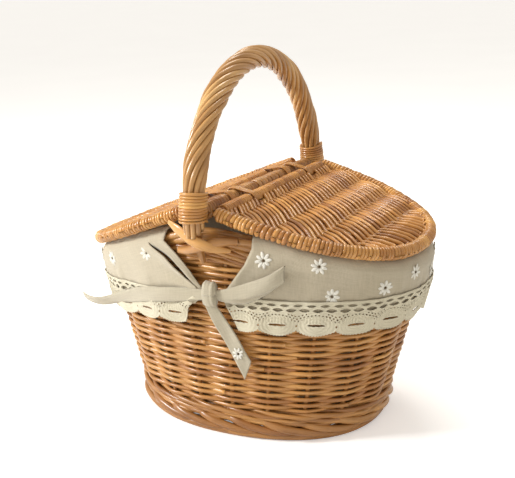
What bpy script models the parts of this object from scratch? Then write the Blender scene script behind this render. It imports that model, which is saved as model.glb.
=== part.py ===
"""Wicker picnic basket with a fixed bow handle, two half lids and a fabric liner.

Metres, +Z up. The origin is the middle of the foot, on the floor. X runs along the basket,
Y across it; the handle stands in the plane x = 0 and the lids hinge on the bar between its legs.
"""

import math

import bmesh
import bpy
from mathutils import Vector

# ---------------------------------------------------------------- driving dimensions
FOOT_HALF_LENGTH = 0.115          # outer half length of the wall at the floor
FOOT_HALF_WIDTH = 0.089
SHOULDER_Z = 0.130                # the flare is straight up to here, and gentler above
SHOULDER_HALF_LENGTH = 0.1516
SHOULDER_HALF_WIDTH = 0.0980
FLARE_ABOVE = 0.45                # share of the flare kept above the shoulder
PLAN_POWER = 2.22                 # superellipse exponent of the plan outline
WALL = 0.009                      # thickness of the woven wall
GAP = 0.0003                      # between touching pieces

FOOT_TOP = 0.0140
LOWER_WALE_TOP = 0.0300
UPPER_WALE_HEIGHT = 0.0120
RIM_RADIUS = 0.0070
RIM_MIDDLE_Z = 0.1925             # top of the rim beside the handle
RIM_DROP_RIGHT = 0.0340           # how far the saddle falls to the right end
RIM_DROP_LEFT = 0.0490
RIM_SADDLE_POWER = 1.4
RIM_END_X = 0.155

STAKE_COUNT = 20
STAKE_RADIUS = 0.0021
STAKE_SHIFT = -0.004              # arc length from the symmetric place, at the front

HANDLE_HALF_SPAN = 0.1162
HANDLE_SPRING_Z = 0.1960
HANDLE_APEX_Z = 0.3226
HANDLE_POWER = 2.02
HANDLE_RADIUS = 0.0105            # over the twisted rods
CORE_RADIUS = 0.0055
BINDING_BOTTOM = 0.2000
BINDING_TOP = 0.2260
BINDING_THICK = 0.0017

BAR_RADIUS = 0.0075               # wrapped bar between the handle's legs
HINGE_X = 0.0165
HINGE_Z = 0.2067
ROD_RADIUS = 0.0045
LOOP_THICK = 0.0018
LOOP_WIDTH = 0.0080
LOOPS_RIGHT = (0.062, -0.046)
LOOPS_LEFT = (0.046, -0.062)

LID_REACH = 0.1384                # horizontal, hinge axis to the tip's border
LID_DROP_RIGHT = 0.0377
LID_DROP_LEFT = 0.0527
LID_HALF_WIDTH = 0.1050
LID_POWER = 2.31
LID_BORDER_RADIUS = 0.0060
LID_PANEL_THICK = 0.0060
LID_NOTCH = 0.0088

CLOTH = 0.0016
BAG_OFFSET = -0.0129              # bag's outer face, from the wall's outer face
FLAP_EDGE = math.radians(80)
FLAP_CLEAR = 0.0039               # flap's inner face where it lies flat on the wall
FLAP_BULGE = 0.0012
LACE_HEIGHT = 0.0310

# ---------------------------------------------------------------- scene
for old in list(bpy.data.objects):
    bpy.data.objects.remove(old, do_unlink=True)

part = bpy.data.collections.new("wicker_picnic_basket")
cutters = bpy.data.collections.new("cutters")
bpy.context.scene.collection.children.link(part)
bpy.context.scene.collection.children.link(cutters)


def material(name, colour, roughness):
    made = bpy.data.materials.get(name)
    if made is None:
        made = bpy.data.materials.new(name)
        made.use_nodes = True
        shader = made.node_tree.nodes["Principled BSDF"]
        shader.inputs["Base Color"].default_value = (*colour, 1.0)
        shader.inputs["Roughness"].default_value = roughness
        shader.inputs["Metallic"].default_value = 0.0
    return made


WILLOW = (0.42, 0.22, 0.09)
HONEY = (0.50, 0.28, 0.12)
LINEN = (0.62, 0.58, 0.48)
LACE = (0.80, 0.77, 0.68)


def place(obj, colour, roughness=0.5, parent=None, where=part):
    where.objects.link(obj)
    obj.data.materials.append(material(obj.name, colour, roughness))
    if parent is not None:
        obj.parent = parent
    if where is cutters:
        obj.hide_render = True
        obj.display_type = "WIRE"
    if obj.type == "MESH":
        obj.data.shade_smooth()
        obj.data.set_sharp_from_angle(angle=math.radians(40))
    return obj


# ---------------------------------------------------------------- the basket's form
def signed_power(value, power):
    return math.copysign(abs(value) ** power, value)


def half_sizes(z):
    share = z / SHOULDER_Z
    if share > 1:
        share = 1 + (share - 1) * FLARE_ABOVE
    return (
        FOOT_HALF_LENGTH + (SHOULDER_HALF_LENGTH - FOOT_HALF_LENGTH) * share,
        FOOT_HALF_WIDTH + (SHOULDER_HALF_WIDTH - FOOT_HALF_WIDTH) * share,
    )


def wall_point(angle, z, offset=0.0):
    a, b = half_sizes(z)
    power = 2 / PLAN_POWER
    return Vector(
        (
            (a + offset) * signed_power(math.cos(angle), power),
            (b + offset) * signed_power(math.sin(angle), power),
            z,
        )
    )


def rim_top(angle):
    x = wall_point(angle, 0.15).x
    if x >= 0:
        return RIM_MIDDLE_Z - RIM_DROP_RIGHT * (x / RIM_END_X) ** RIM_SADDLE_POWER
    return RIM_MIDDLE_Z - RIM_DROP_LEFT * (-x / RIM_END_X) ** RIM_SADDLE_POWER


def even_angles(count, shift=0.0, z=0.09):
    """Angles that divide the wall's outline into equal lengths, starting at the front middle."""
    fine = 2880
    points = [wall_point(-math.pi / 2 + 2 * math.pi * k / fine, z) for k in range(fine + 1)]
    run = [0.0]
    for first, second in zip(points, points[1:]):
        run.append(run[-1] + (second - first).length)
    angles = []
    for k in range(count):
        wanted = (shift + run[-1] * k / count) % run[-1]
        at = next(i for i in range(fine) if run[i + 1] >= wanted)
        share = (wanted - run[at]) / (run[at + 1] - run[at])
        angles.append(-math.pi / 2 + 2 * math.pi * (at + share) / fine)
    return angles


def surface(name, rows, loop, colour, roughness=0.7, thickness=None, where=part, bottom=False):
    """An open quad surface through rows of points, given its thickness by Solidify.

    A positive thickness grows towards the surface's outside, a negative one inwards."""
    shape = bmesh.new()
    grid = [[shape.verts.new(point) for point in row] for row in rows]
    around = len(rows[0]) if loop else len(rows[0]) - 1
    for low, high in zip(grid, grid[1:]):
        for k in range(around):
            n = (k + 1) % len(low)
            shape.faces.new((low[k], low[n], high[n], high[k]))
    if bottom:
        shape.faces.new(list(reversed(grid[0])))
    bmesh.ops.recalc_face_normals(shape, faces=shape.faces)
    centre = sum((v.co for v in shape.verts), Vector()) / len(shape.verts)
    lean = sum(f.normal.dot(f.calc_center_median() - Vector((0, 0, centre.z))) for f in shape.faces)
    if lean < 0:
        bmesh.ops.reverse_faces(shape, faces=shape.faces)
    mesh = bpy.data.meshes.new(name)
    shape.to_mesh(mesh)
    shape.free()
    obj = place(bpy.data.objects.new(name, mesh), colour, roughness, where=where)
    shell = obj.modifiers.new("thickness", "SOLIDIFY")
    shell.thickness = abs(thickness)
    shell.offset = 1.0 if thickness > 0 else -1.0
    shell.use_even_offset = True
    shell.use_rim = True
    return obj


def tube(name, points, radius, colour, roughness=0.5, sides=2, closed=False, parent=None, radii=None, where=part):
    curve = bpy.data.curves.new(name, "CURVE")
    curve.dimensions = "3D"
    curve.bevel_depth = radius
    curve.bevel_resolution = sides
    curve.use_fill_caps = not closed
    spline = curve.splines.new("POLY")
    spline.points.add(len(points) - 1)
    for k, point in enumerate(points):
        spline.points[k].co = (*point, 1.0)
        spline.points[k].radius = 1.0 if radii is None else radii[k]
    spline.use_cyclic_u = closed
    return place(bpy.data.objects.new(name, curve), colour, roughness, parent, where)


def as_mesh(obj, where):
    """The curve made a mesh, with its caps welded, so that it can be cut or can cut."""
    bpy.context.view_layer.update()
    graph = bpy.context.evaluated_depsgraph_get()
    mesh = bpy.data.meshes.new_from_object(obj.evaluated_get(graph))
    shape = bmesh.new()
    shape.from_mesh(mesh)
    bmesh.ops.remove_doubles(shape, verts=shape.verts, dist=0.00001)
    bmesh.ops.recalc_face_normals(shape, faces=shape.faces)
    shape.to_mesh(mesh)
    shape.free()
    name, matrix = obj.name, obj.matrix_world.copy()
    bpy.data.objects.remove(obj, do_unlink=True)
    made = bpy.data.objects.new(name, mesh)
    made.matrix_world = matrix
    where.objects.link(made)
    if where is cutters:
        made.hide_render = True
        made.display_type = "WIRE"
    else:
        mesh.shade_smooth()
        mesh.set_sharp_from_angle(angle=math.radians(40))
    return made


def cut(obj, cutter):
    step = obj.modifiers.new("cut_" + cutter.name, "BOOLEAN")
    step.operation = "DIFFERENCE"
    step.object = cutter
    step.solver = "EXACT"


def outline(name, loops, half_thickness, colour, roughness=0.6, parent=None):
    """A flat plate from closed 2D outlines; the second outline, if any, is its hole."""
    curve = bpy.data.curves.new(name, "CURVE")
    curve.dimensions = "2D"
    curve.fill_mode = "BOTH"
    curve.extrude = half_thickness
    for points in loops:
        spline = curve.splines.new("POLY")
        spline.points.add(len(points) - 1)
        for k, (x, y) in enumerate(points):
            spline.points[k].co = (x, y, 0.0, 1.0)
        spline.use_cyclic_u = True
    return place(bpy.data.objects.new(name, curve), colour, roughness, parent)


ROUND = [2 * math.pi * k / 48 for k in range(48)]


def ring_loft(name, sections, colour, roughness=0.6):
    """A closed ring lofted through sections, each one a closed polygon at its own angle."""
    shape = bmesh.new()
    grid = [[shape.verts.new(point) for point in section] for section in sections]
    for k, first in enumerate(grid):
        second = grid[(k + 1) % len(grid)]
        for i in range(len(first)):
            j = (i + 1) % len(first)
            shape.faces.new((first[i], second[i], second[j], first[j]))
    bmesh.ops.recalc_face_normals(shape, faces=shape.faces)
    mesh = bpy.data.meshes.new(name)
    shape.to_mesh(mesh)
    shape.free()
    return place(bpy.data.objects.new(name, mesh), colour, roughness)


# ---------------------------------------------------------------- foot, base and wall
def band(name, low, high, colour, proud=0.0, crosses_shoulder=False):
    """A band of weaving between two heights, which may follow the rim's saddle."""
    sections = []
    for a in ROUND:
        levels = [low(a), high(a)]
        if crosses_shoulder:
            levels.insert(1, min(SHOULDER_Z, high(a) - 0.002))
        outer = [wall_point(a, z, proud) for z in levels]
        inner = [wall_point(a, z, -WALL) for z in reversed(levels)]
        sections.append(outer + inner)
    return ring_loft(name, sections, colour)


foot_profile = (
    (0.0, 0.0000), (0.0024, 0.0035), (0.0026, 0.0100), (0.0004, FOOT_TOP - GAP),
    (-WALL, FOOT_TOP - GAP), (-0.0112, 0.0100), (-0.0112, 0.0020), (-0.0095, 0.0000),
)
ring_loft("foot_border", [[wall_point(a, z, off) for off, z in foot_profile] for a in ROUND], HONEY, 0.5)

base = bpy.data.curves.new("base_panel", "CURVE")
base.dimensions = "2D"
base.fill_mode = "BOTH"
base.extrude = 0.003
spline = base.splines.new("POLY")
spline.points.add(len(ROUND) - 1)
for k, a in enumerate(ROUND):
    p = wall_point(a, 0.006, -0.0126)
    spline.points[k].co = (p.x, p.y, 0.0, 1.0)
spline.use_cyclic_u = True
base_panel = place(bpy.data.objects.new("base_panel", base), WILLOW, 0.6)
base_panel.location = (0, 0, 0.009)

RIM_CENTRE = -WALL / 2            # the rim's middle line, from the wall's outer face


def under_rim(angle):
    return rim_top(angle) - 2.07 * RIM_RADIUS - GAP


lower_wale = band("lower_wale", lambda a: FOOT_TOP, lambda a: LOWER_WALE_TOP, HONEY, 0.0012)
side_weave = band(
    "side_weave", lambda a: LOWER_WALE_TOP + GAP, lambda a: under_rim(a) - UPPER_WALE_HEIGHT - GAP, WILLOW,
    crosses_shoulder=True,
)
upper_wale = band("upper_wale", lambda a: under_rim(a) - UPPER_WALE_HEIGHT, under_rim, HONEY, 0.0012)
rim_border = tube(
    "rim_border",
    [wall_point(a, rim_top(a) - RIM_RADIUS, RIM_CENTRE) for a in ROUND],
    RIM_RADIUS, HONEY, 0.45, sides=3, closed=True,
)

# The upright stakes run through the weaving, from the foot to under the rim.
stake_angles = even_angles(STAKE_COUNT, STAKE_SHIFT + 0.7493 / STAKE_COUNT / 2)


def stake_line(angle, low, high):
    levels = [low, high] if high < SHOULDER_Z + 0.002 else [low, SHOULDER_Z, high]
    return [wall_point(angle, z, RIM_CENTRE) for z in levels]


channel_shape = bmesh.new()
for number, angle in enumerate(stake_angles, 1):
    top = under_rim(angle)
    tube(
        f"stake_{number:02d}",
        stake_line(angle, FOOT_TOP + GAP, top - GAP),
        STAKE_RADIUS, HONEY, 0.5, sides=1,
    )
    channel = tube(
        f"channel_{number:02d}",
        stake_line(angle, FOOT_TOP - 0.004, top + 0.004),
        STAKE_RADIUS + GAP + 0.0001, HONEY, 0.5, sides=1, where=cutters,
    )
    channel = as_mesh(channel, cutters)
    channel_shape.from_mesh(channel.data)
    bpy.data.objects.remove(channel, do_unlink=True)
channel_mesh = bpy.data.meshes.new("stake_channels")
channel_shape.to_mesh(channel_mesh)
channel_shape.free()
stake_channels = place(bpy.data.objects.new("stake_channels", channel_mesh), HONEY, where=cutters)
for woven in (lower_wale, side_weave, upper_wale):
    cut(woven, stake_channels)


# ---------------------------------------------------------------- handle
def bow(share):
    """Centreline of the bow over the springing, share 0 at the front and 1 at the back."""
    turn = math.pi * share
    power = 2 / HANDLE_POWER
    return Vector(
        (
            0.0,
            -HANDLE_HALF_SPAN * signed_power(math.cos(turn), power),
            HANDLE_SPRING_Z + (HANDLE_APEX_Z - HANDLE_SPRING_Z) * signed_power(math.sin(turn), power),
        )
    )


LEG = ((0.1042, 0.1640), (0.1060, 0.1705), (0.1092, 0.1775), (0.1122, 0.1845), (0.1145, 0.1915))
arch = [bow(k / 30) for k in range(1, 30)]
front_leg = [Vector((0, -y, z)) for y, z in LEG]
back_leg = [Vector((0, y, z)) for y, z in reversed(LEG)]
core_points = front_leg + arch + back_leg
core_radii = [min(1.0, 0.45 + 0.14 * k) for k in range(len(core_points))]
core_radii = [min(a, b) for a, b in zip(core_radii, reversed(core_radii))]
tube("handle_core", core_points, CORE_RADIUS, HONEY, 0.5, sides=2, radii=core_radii)

twist_points = [Vector((0, -0.1152, 0.1985))] + arch + [Vector((0, 0.1152, 0.1985))]
twist = as_mesh(tube("handle_twist", twist_points, HANDLE_RADIUS, WILLOW, 0.45, sides=3), part)
bore_points = front_leg[-1:] + arch + back_leg[:1]
bore = as_mesh(tube("handle_bore", bore_points, CORE_RADIUS + GAP + 0.0001, WILLOW, 0.5, sides=2, where=cutters), cutters)
cut(twist, bore)


def leg_point(z, side):
    share = max(0.0, (z - HANDLE_SPRING_Z) / (HANDLE_APEX_Z - HANDLE_SPRING_Z))
    y = HANDLE_HALF_SPAN * (1 - share ** HANDLE_POWER) ** (1 / HANDLE_POWER)
    return Vector((0, side * y, z))


for side, word in ((-1, "front"), (1, "back")):
    # skein bound round the leg
    rows = []
    for step in range(4):
        z = BINDING_BOTTOM + (BINDING_TOP - BINDING_BOTTOM) * step / 3
        centre = leg_point(z, side)
        along = (leg_point(z + 0.001, side) - leg_point(z - 0.001, side)).normalized()
        across = along.cross(Vector((1, 0, 0)))
        radius = HANDLE_RADIUS + 0.0011
        rows.append(
            [centre + radius * math.cos(t) * Vector((1, 0, 0)) + radius * math.sin(t) * across for t in (2 * math.pi * k / 16 for k in range(16))]
        )
    shape = bmesh.new()
    grid = [[shape.verts.new(p) for p in row] for row in rows]
    for low, high in zip(grid, grid[1:]):
        for k in range(16):
            n = (k + 1) % 16
            shape.faces.new((low[k], low[n], high[n], high[k]))
    mesh = bpy.data.meshes.new(word + "_binding")
    shape.to_mesh(mesh)
    shape.free()
    binding = place(bpy.data.objects.new(word + "_binding", mesh), HONEY, 0.4)
    shell = binding.modifiers.new("thickness", "SOLIDIFY")
    shell.thickness = BINDING_THICK
    shell.offset = 1.0
    shell.use_even_offset = True

    # flat split rods that lash the leg to the rim, crossing one outside the other
    for name, middle_z, slope, stand, ends in (
        (word + "_lashing_over", 0.1865, -0.40, 0.1203, 0.1125), (word + "_lashing_under", 0.1760, 0.25, 0.1150, 0.1048)
    ):
        rows = []
        for step in range(9):
            share = step / 8 * 2 - 1
            x = 0.025 * share
            z = middle_z + slope * x
            outer = ends if share < 0 else ends - 0.0055 * max(0.0, share) * (slope < 0)
            reach = stand - (stand - outer) * abs(share) ** 1.5
            rows.append([Vector((-side * x, side * reach, z - 0.0040)), Vector((-side * x, side * reach, z + 0.0040))])
        surface(name, rows, False, HONEY, 0.4, 0.0012)


# ---------------------------------------------------------------- hinge bar and lids
bar_end = HANDLE_HALF_SPAN - 0.0006 - HANDLE_RADIUS - BINDING_THICK - 0.0023
tube("hinge_bar", [(0, -bar_end + 2 * bar_end * k / 8, HINGE_Z) for k in range(9)], BAR_RADIUS, WILLOW, 0.5, sides=3)


def hull_of_circles(big, small, gap_x, sense):
    """Outline of a belt round two circles, the big one at 0 and the small one at gap_x."""
    lean = math.acos((big - small) / gap_x)
    points = []
    for k in range(11):
        t = lean + (2 * math.pi - 2 * lean) * k / 10
        points.append((big * math.cos(t), big * math.sin(t)))
    for k in range(7):
        t = -lean + 2 * lean * k / 6
        points.append((gap_x + small * math.cos(t), small * math.sin(t)))
    return [(sense * x, y) for x, y in points]


for word, sense, places in (("right", 1, LOOPS_RIGHT), ("left", -1, LOOPS_LEFT)):
    for number, y in enumerate(places, 1):
        inner = hull_of_circles(BAR_RADIUS + GAP + 0.0001, ROD_RADIUS + GAP + 0.0001, HINGE_X, sense)
        outer = hull_of_circles(BAR_RADIUS + GAP + LOOP_THICK, ROD_RADIUS + GAP + LOOP_THICK, HINGE_X, sense)
        loop = outline(f"{word}_hinge_loop_{number}", [outer, inner], LOOP_WIDTH / 2, HONEY, 0.5)
        loop.rotation_euler = (math.pi / 2, 0, 0)
        loop.location = (0, y, HINGE_Z)

for word, turn, drop, places in (("right", 0.0, LID_DROP_RIGHT, LOOPS_RIGHT), ("left", math.pi, LID_DROP_LEFT, LOOPS_LEFT)):
    sense = 1 if word == "right" else -1
    slope = math.atan2(drop, LID_REACH)
    length = math.hypot(drop, LID_REACH)
    hinge = bpy.data.objects.new(word + "_lid_hinge", None)
    part.objects.link(hinge)
    hinge.location = (sense * HINGE_X, 0, HINGE_Z)
    hinge.rotation_euler = (0, slope, turn)

    def lid_curve(inset, count, start=0.0):
        points = []
        for k in range(count):
            t = -math.pi / 2 + math.pi * k / (count - 1)
            power = 2 / LID_POWER
            points.append(
                (
                    max(start, (length - inset) * signed_power(math.cos(t), power)),
                    (LID_HALF_WIDTH - inset) * signed_power(math.sin(t), power),
                )
            )
        return points

    border = [(x, y, 0.0) for x, y in lid_curve(0.0, 34)]
    tube(word + "_lid_border", border, LID_BORDER_RADIUS, HONEY, 0.4, sides=2, parent=hinge)
    rod_half = LID_HALF_WIDTH - LID_BORDER_RADIUS - 2 * GAP
    tube(
        word + "_hinge_rod",
        [(0, -rod_half + 2 * rod_half * k / 6, 0) for k in range(7)],
        ROD_RADIUS, HONEY, 0.45, sides=2, parent=hinge,
    )
    start = ROD_RADIUS + GAP
    rim = lid_curve(LID_BORDER_RADIUS + GAP + 0.0001, 30, start)
    rim[0], rim[-1] = (start, -rod_half + 0.0004), (start, rod_half - 0.0004)
    edge = []
    for y in sorted(((sense * y) for y in places), reverse=True):
        for corner in ((start, y + 0.0055), (LID_NOTCH, y + 0.0055), (LID_NOTCH, y - 0.0055), (start, y - 0.0055)):
            edge.append(corner)
    outline(word + "_lid_panel", [rim + edge], LID_PANEL_THICK / 2, WILLOW, 0.55, hinge)


# ---------------------------------------------------------------- liner
bag_rows = [
    [wall_point(a, 0.0125, BAG_OFFSET - 0.0060) for a in ROUND],
    [wall_point(a, 0.0140, BAG_OFFSET - 0.0018) for a in ROUND],
    [wall_point(a, 0.0190, BAG_OFFSET) for a in ROUND],
]
for share in (0.5, 1.0):
    bag_rows.append(
        [wall_point(a, 0.0190 + (rim_top(a) - RIM_RADIUS - 0.0012 - 0.0190) * share, BAG_OFFSET) for a in ROUND]
    )
surface("liner_bag", bag_rows, True, LINEN, 0.9, -0.0012, bottom=True)


def flap_bottom(angle, word):
    end = abs(math.cos(angle)) ** 1.5
    return 0.1050 - (0.002 if word == "right" else 0.013) * end


def flap_offset(angle, z):
    """Inner face of the flap, from the wall's outer face: it stands away at the basket's ends."""
    down = rim_top(angle) - z
    swell = math.exp(-(((down - 0.016) / 0.019) ** 2))
    return FLAP_CLEAR + FLAP_BULGE * abs(math.cos(angle)) ** 1.4 * swell


for word, middle in (("right", 0.0), ("left", math.pi)):
    angles = [middle + FLAP_EDGE * (k / 10 - 1) for k in range(21)]
    rows = []
    for k in range(4):                                # over the rim
        t = math.pi * (1 - k / 4)
        reach = 1.07 * RIM_RADIUS + 0.0009
        rows.append(
            [
                wall_point(a, rim_top(a) - RIM_RADIUS, RIM_CENTRE + reach * math.cos(t))
                + Vector((0, 0, reach * math.sin(t)))
                for a in angles
            ]
        )
    for k in range(6):                                # and down outside
        row = []
        for a in angles:
            top = rim_top(a) - RIM_RADIUS
            low = flap_bottom(a, word) + LACE_HEIGHT
            z = top + (low - top) * k / 5
            row.append(wall_point(a, z, flap_offset(a, z)))
        rows.append(row)
    surface(word + "_flap", rows, False, LINEN, 0.9, CLOTH)
    rows = []
    for k in range(4):
        row = []
        for a in angles:
            low = flap_bottom(a, word)
            z = low + LACE_HEIGHT - 0.0005 - (LACE_HEIGHT - 0.0005) * k / 3
            row.append(wall_point(a, z, flap_offset(a, z)))
        rows.append(row)
    surface(word + "_lace", rows, False, LACE, 0.9, CLOTH)

# ---------------------------------------------------------------- ties, front and back
for side, word in ((-1, "front"), (1, "back")):
    knot_at = Vector((0.004 * -side, side * 0.1075, 0.1385))
    shape = bmesh.new()
    bmesh.ops.create_uvsphere(shape, u_segments=12, v_segments=8, radius=1.0)
    mesh = bpy.data.meshes.new(word + "_bow_knot")
    bmesh.ops.scale(shape, verts=shape.verts, vec=(0.0085, 0.0055, 0.0100))
    shape.to_mesh(mesh)
    shape.free()
    knot = place(bpy.data.objects.new(word + "_bow_knot", mesh), LINEN, 0.9)
    knot.location = knot_at

    def tie(name, stations, width, thick):
        """A flat tie over the flap, from stations of (angle, z, stand-off)."""
        rows = []
        for angle, z, off in stations:
            a = angle if side < 0 else angle + math.pi
            low = wall_point(a, z - width / 2, flap_offset(angle, z) + CLOTH + off)
            high = wall_point(a, z + width / 2, flap_offset(angle, z) + CLOTH + off)
            rows.append([low, high])
        surface(name, rows, False, LINEN, 0.9, thick)

    d = math.radians
    tie(word + "_bow_loop", [(d(-86.0 + k * 3.35), 0.1400 + 0.0195 * k / 6, 0.0010 + 0.0030 * math.sin(math.pi * k / 6)) for k in range(7)], 0.0150, 0.0050)
    sweep, lift = (61.6, 0.0300) if side < 0 else (36.0, 0.0060)     # the back one hangs close to the flap
    tie(
        word + "_bow_tail_long",
        [(d(-91.9 - sweep * k / 11), 0.1360 - 0.0380 * k / 11, 0.0020 + lift * max(0.0, (k - 7) / 4) ** 1.6) for k in range(12)],
        0.0120, 0.0012,
    )
    tie(word + "_bow_tail_low", [(d(-87.3 + 9.5 * k / 8), 0.1220 - 0.0560 * k / 8, -0.0008) for k in range(9)], 0.0130, 0.0012)

bpy.context.view_layer.update()
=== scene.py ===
"""Wicker picnic basket: the looks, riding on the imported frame. Metres, +Z up."""
import math

import bpy
import numpy as np
from mathutils import Matrix, Vector

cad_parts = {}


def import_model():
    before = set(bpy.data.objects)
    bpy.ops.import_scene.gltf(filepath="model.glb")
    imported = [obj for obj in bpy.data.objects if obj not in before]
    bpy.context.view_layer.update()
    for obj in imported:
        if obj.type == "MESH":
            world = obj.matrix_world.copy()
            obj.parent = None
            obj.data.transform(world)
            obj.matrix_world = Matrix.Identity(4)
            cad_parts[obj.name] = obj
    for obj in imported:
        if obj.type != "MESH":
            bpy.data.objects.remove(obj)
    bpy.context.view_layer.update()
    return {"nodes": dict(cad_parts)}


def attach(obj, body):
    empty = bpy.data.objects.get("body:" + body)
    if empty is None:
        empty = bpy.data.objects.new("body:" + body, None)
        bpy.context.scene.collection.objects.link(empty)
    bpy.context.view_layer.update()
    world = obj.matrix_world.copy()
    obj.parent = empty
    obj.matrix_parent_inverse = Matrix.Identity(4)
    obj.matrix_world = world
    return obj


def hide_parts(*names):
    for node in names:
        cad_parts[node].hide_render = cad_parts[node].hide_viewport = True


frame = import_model()
PI = math.pi


def rng(seed):
    return np.random.default_rng(seed)


# =============================================================== the basket's form, as the frame has it
FOOT_A, FOOT_B = 0.115, 0.089
SHOULDER_Z, SHOULDER_A, SHOULDER_B, FLARE_ABOVE = 0.130, 0.1516, 0.0980, 0.45
PLAN_POWER = 2.22
WALL = 0.009
RIM_MIDDLE_Z, RIM_DROP_RIGHT, RIM_DROP_LEFT, RIM_END_X, SADDLE = 0.1925, 0.0340, 0.0490, 0.155, 1.4
RIM_R = 0.0070
STAKES = 20
STAKE_SHIFT = -0.004 + 0.7493 / STAKES / 2
BOW_Y, BOW_Z0, BOW_Z1, BOW_POWER = 0.1162, 0.1960, 0.3226, 2.02
HINGE_X, HINGE_Z, ROD_R, BAR_R = 0.0165, 0.2067, 0.0045, 0.0075
LID_REACH, LID_HALF, LID_POWER, LID_BORDER_R = 0.1384, 0.1050, 2.31, 0.0060
LID_DROP = {"right": 0.0377, "left": 0.0527}
LOOPS = {"right": (0.062, -0.046), "left": (0.046, -0.062)}


def spow(v, p):
    return np.sign(v) * np.abs(v) ** p


def half_sizes(z):
    k = np.asarray(z, float) / SHOULDER_Z
    k = np.where(k > 1, 1 + (k - 1) * FLARE_ABOVE, k)
    return FOOT_A + (SHOULDER_A - FOOT_A) * k, FOOT_B + (SHOULDER_B - FOOT_B) * k


def wall(t, z, off=0.0):
    """Points on the wall's outer face, moved out by off."""
    t, z, off = np.broadcast_arrays(np.asarray(t, float), np.asarray(z, float), np.asarray(off, float))
    a, b = half_sizes(z)
    p = 2 / PLAN_POWER
    return np.stack([(a + off) * spow(np.cos(t), p), (b + off) * spow(np.sin(t), p), z], -1)


def wall_normal(t, z):
    """Outward normal of the wall, from its plan outline and its flare."""
    p = wall(t, z)
    a, b = half_sizes(z)
    n = np.stack(
        [spow(p[..., 0] / a, PLAN_POWER - 1) / a, spow(p[..., 1] / b, PLAN_POWER - 1) / b, np.zeros_like(p[..., 0])], -1
    )
    n /= np.linalg.norm(n, axis=-1, keepdims=True)
    flare = np.abs(n[..., 0]) * 0.28 + np.abs(n[..., 1]) * 0.07
    n[..., 2] = -np.where(p[..., 2] > SHOULDER_Z, flare * FLARE_ABOVE, flare)
    return n / np.linalg.norm(n, axis=-1, keepdims=True)


def rim_top(t):
    x = wall(t, 0.15)[..., 0]
    drop = np.where(x >= 0, RIM_DROP_RIGHT, RIM_DROP_LEFT)
    return RIM_MIDDLE_Z - drop * (np.abs(x) / RIM_END_X) ** SADDLE


_fine = np.linspace(-PI / 2, 3 * PI / 2, 5761)
_pts = wall(_fine, 0.09)
_run = np.concatenate([[0], np.cumsum(np.linalg.norm(np.diff(_pts, axis=0), axis=1))])
GIRTH = _run[-1]


def angle_at(s):
    """Plan angle at stake coordinate s: stake k stands at s = k."""
    length = np.asarray(s, float) / STAKES * GIRTH + STAKE_SHIFT
    turns = np.floor(length / GIRTH)
    return np.interp(length - turns * GIRTH, _run, _fine) + turns * 2 * PI


def stake_at(t):
    turns = np.floor((t + PI / 2) / (2 * PI))
    return (np.interp(t - turns * 2 * PI, _fine, _run) + turns * GIRTH - STAKE_SHIFT) / GIRTH * STAKES


# =============================================================== meshes
def make_mesh(name, verts, faces, uv=None, smooth=True, floats=None):
    """A mesh object from arrays: faces is one (n, 4) or (n, 3) array or a list of lists."""
    mesh = bpy.data.meshes.new(name)
    verts = np.asarray(verts, np.float32)
    if isinstance(faces, np.ndarray):
        n, k = faces.shape
        mesh.vertices.add(len(verts))
        mesh.vertices.foreach_set("co", verts.ravel())
        mesh.loops.add(n * k)
        mesh.loops.foreach_set("vertex_index", faces.astype(np.int32).ravel())
        mesh.polygons.add(n)
        mesh.polygons.foreach_set("loop_start", np.arange(0, n * k, k, dtype=np.int32))
        mesh.update(calc_edges=True)
    else:
        mesh.from_pydata(verts.tolist(), [], [list(f) for f in faces])
        mesh.update()
    if uv is not None:
        layer = mesh.uv_layers.new(name="UVMap")
        index = np.empty(len(mesh.loops), np.int32)
        mesh.loops.foreach_get("vertex_index", index)
        layer.data.foreach_set("uv", np.asarray(uv, np.float32)[index].ravel())
    for key, values in (floats or {}).items():
        attribute = mesh.attributes.new(key, "FLOAT", "POINT")
        attribute.data.foreach_set("value", np.asarray(values, np.float32))
    mesh.validate()
    if smooth:
        mesh.shade_smooth()
    obj = bpy.data.objects.new(name, mesh)
    bpy.context.scene.collection.objects.link(obj)
    return obj


def unit(v):
    return v / np.maximum(np.linalg.norm(v, axis=-1, keepdims=True), 1e-12)


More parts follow.
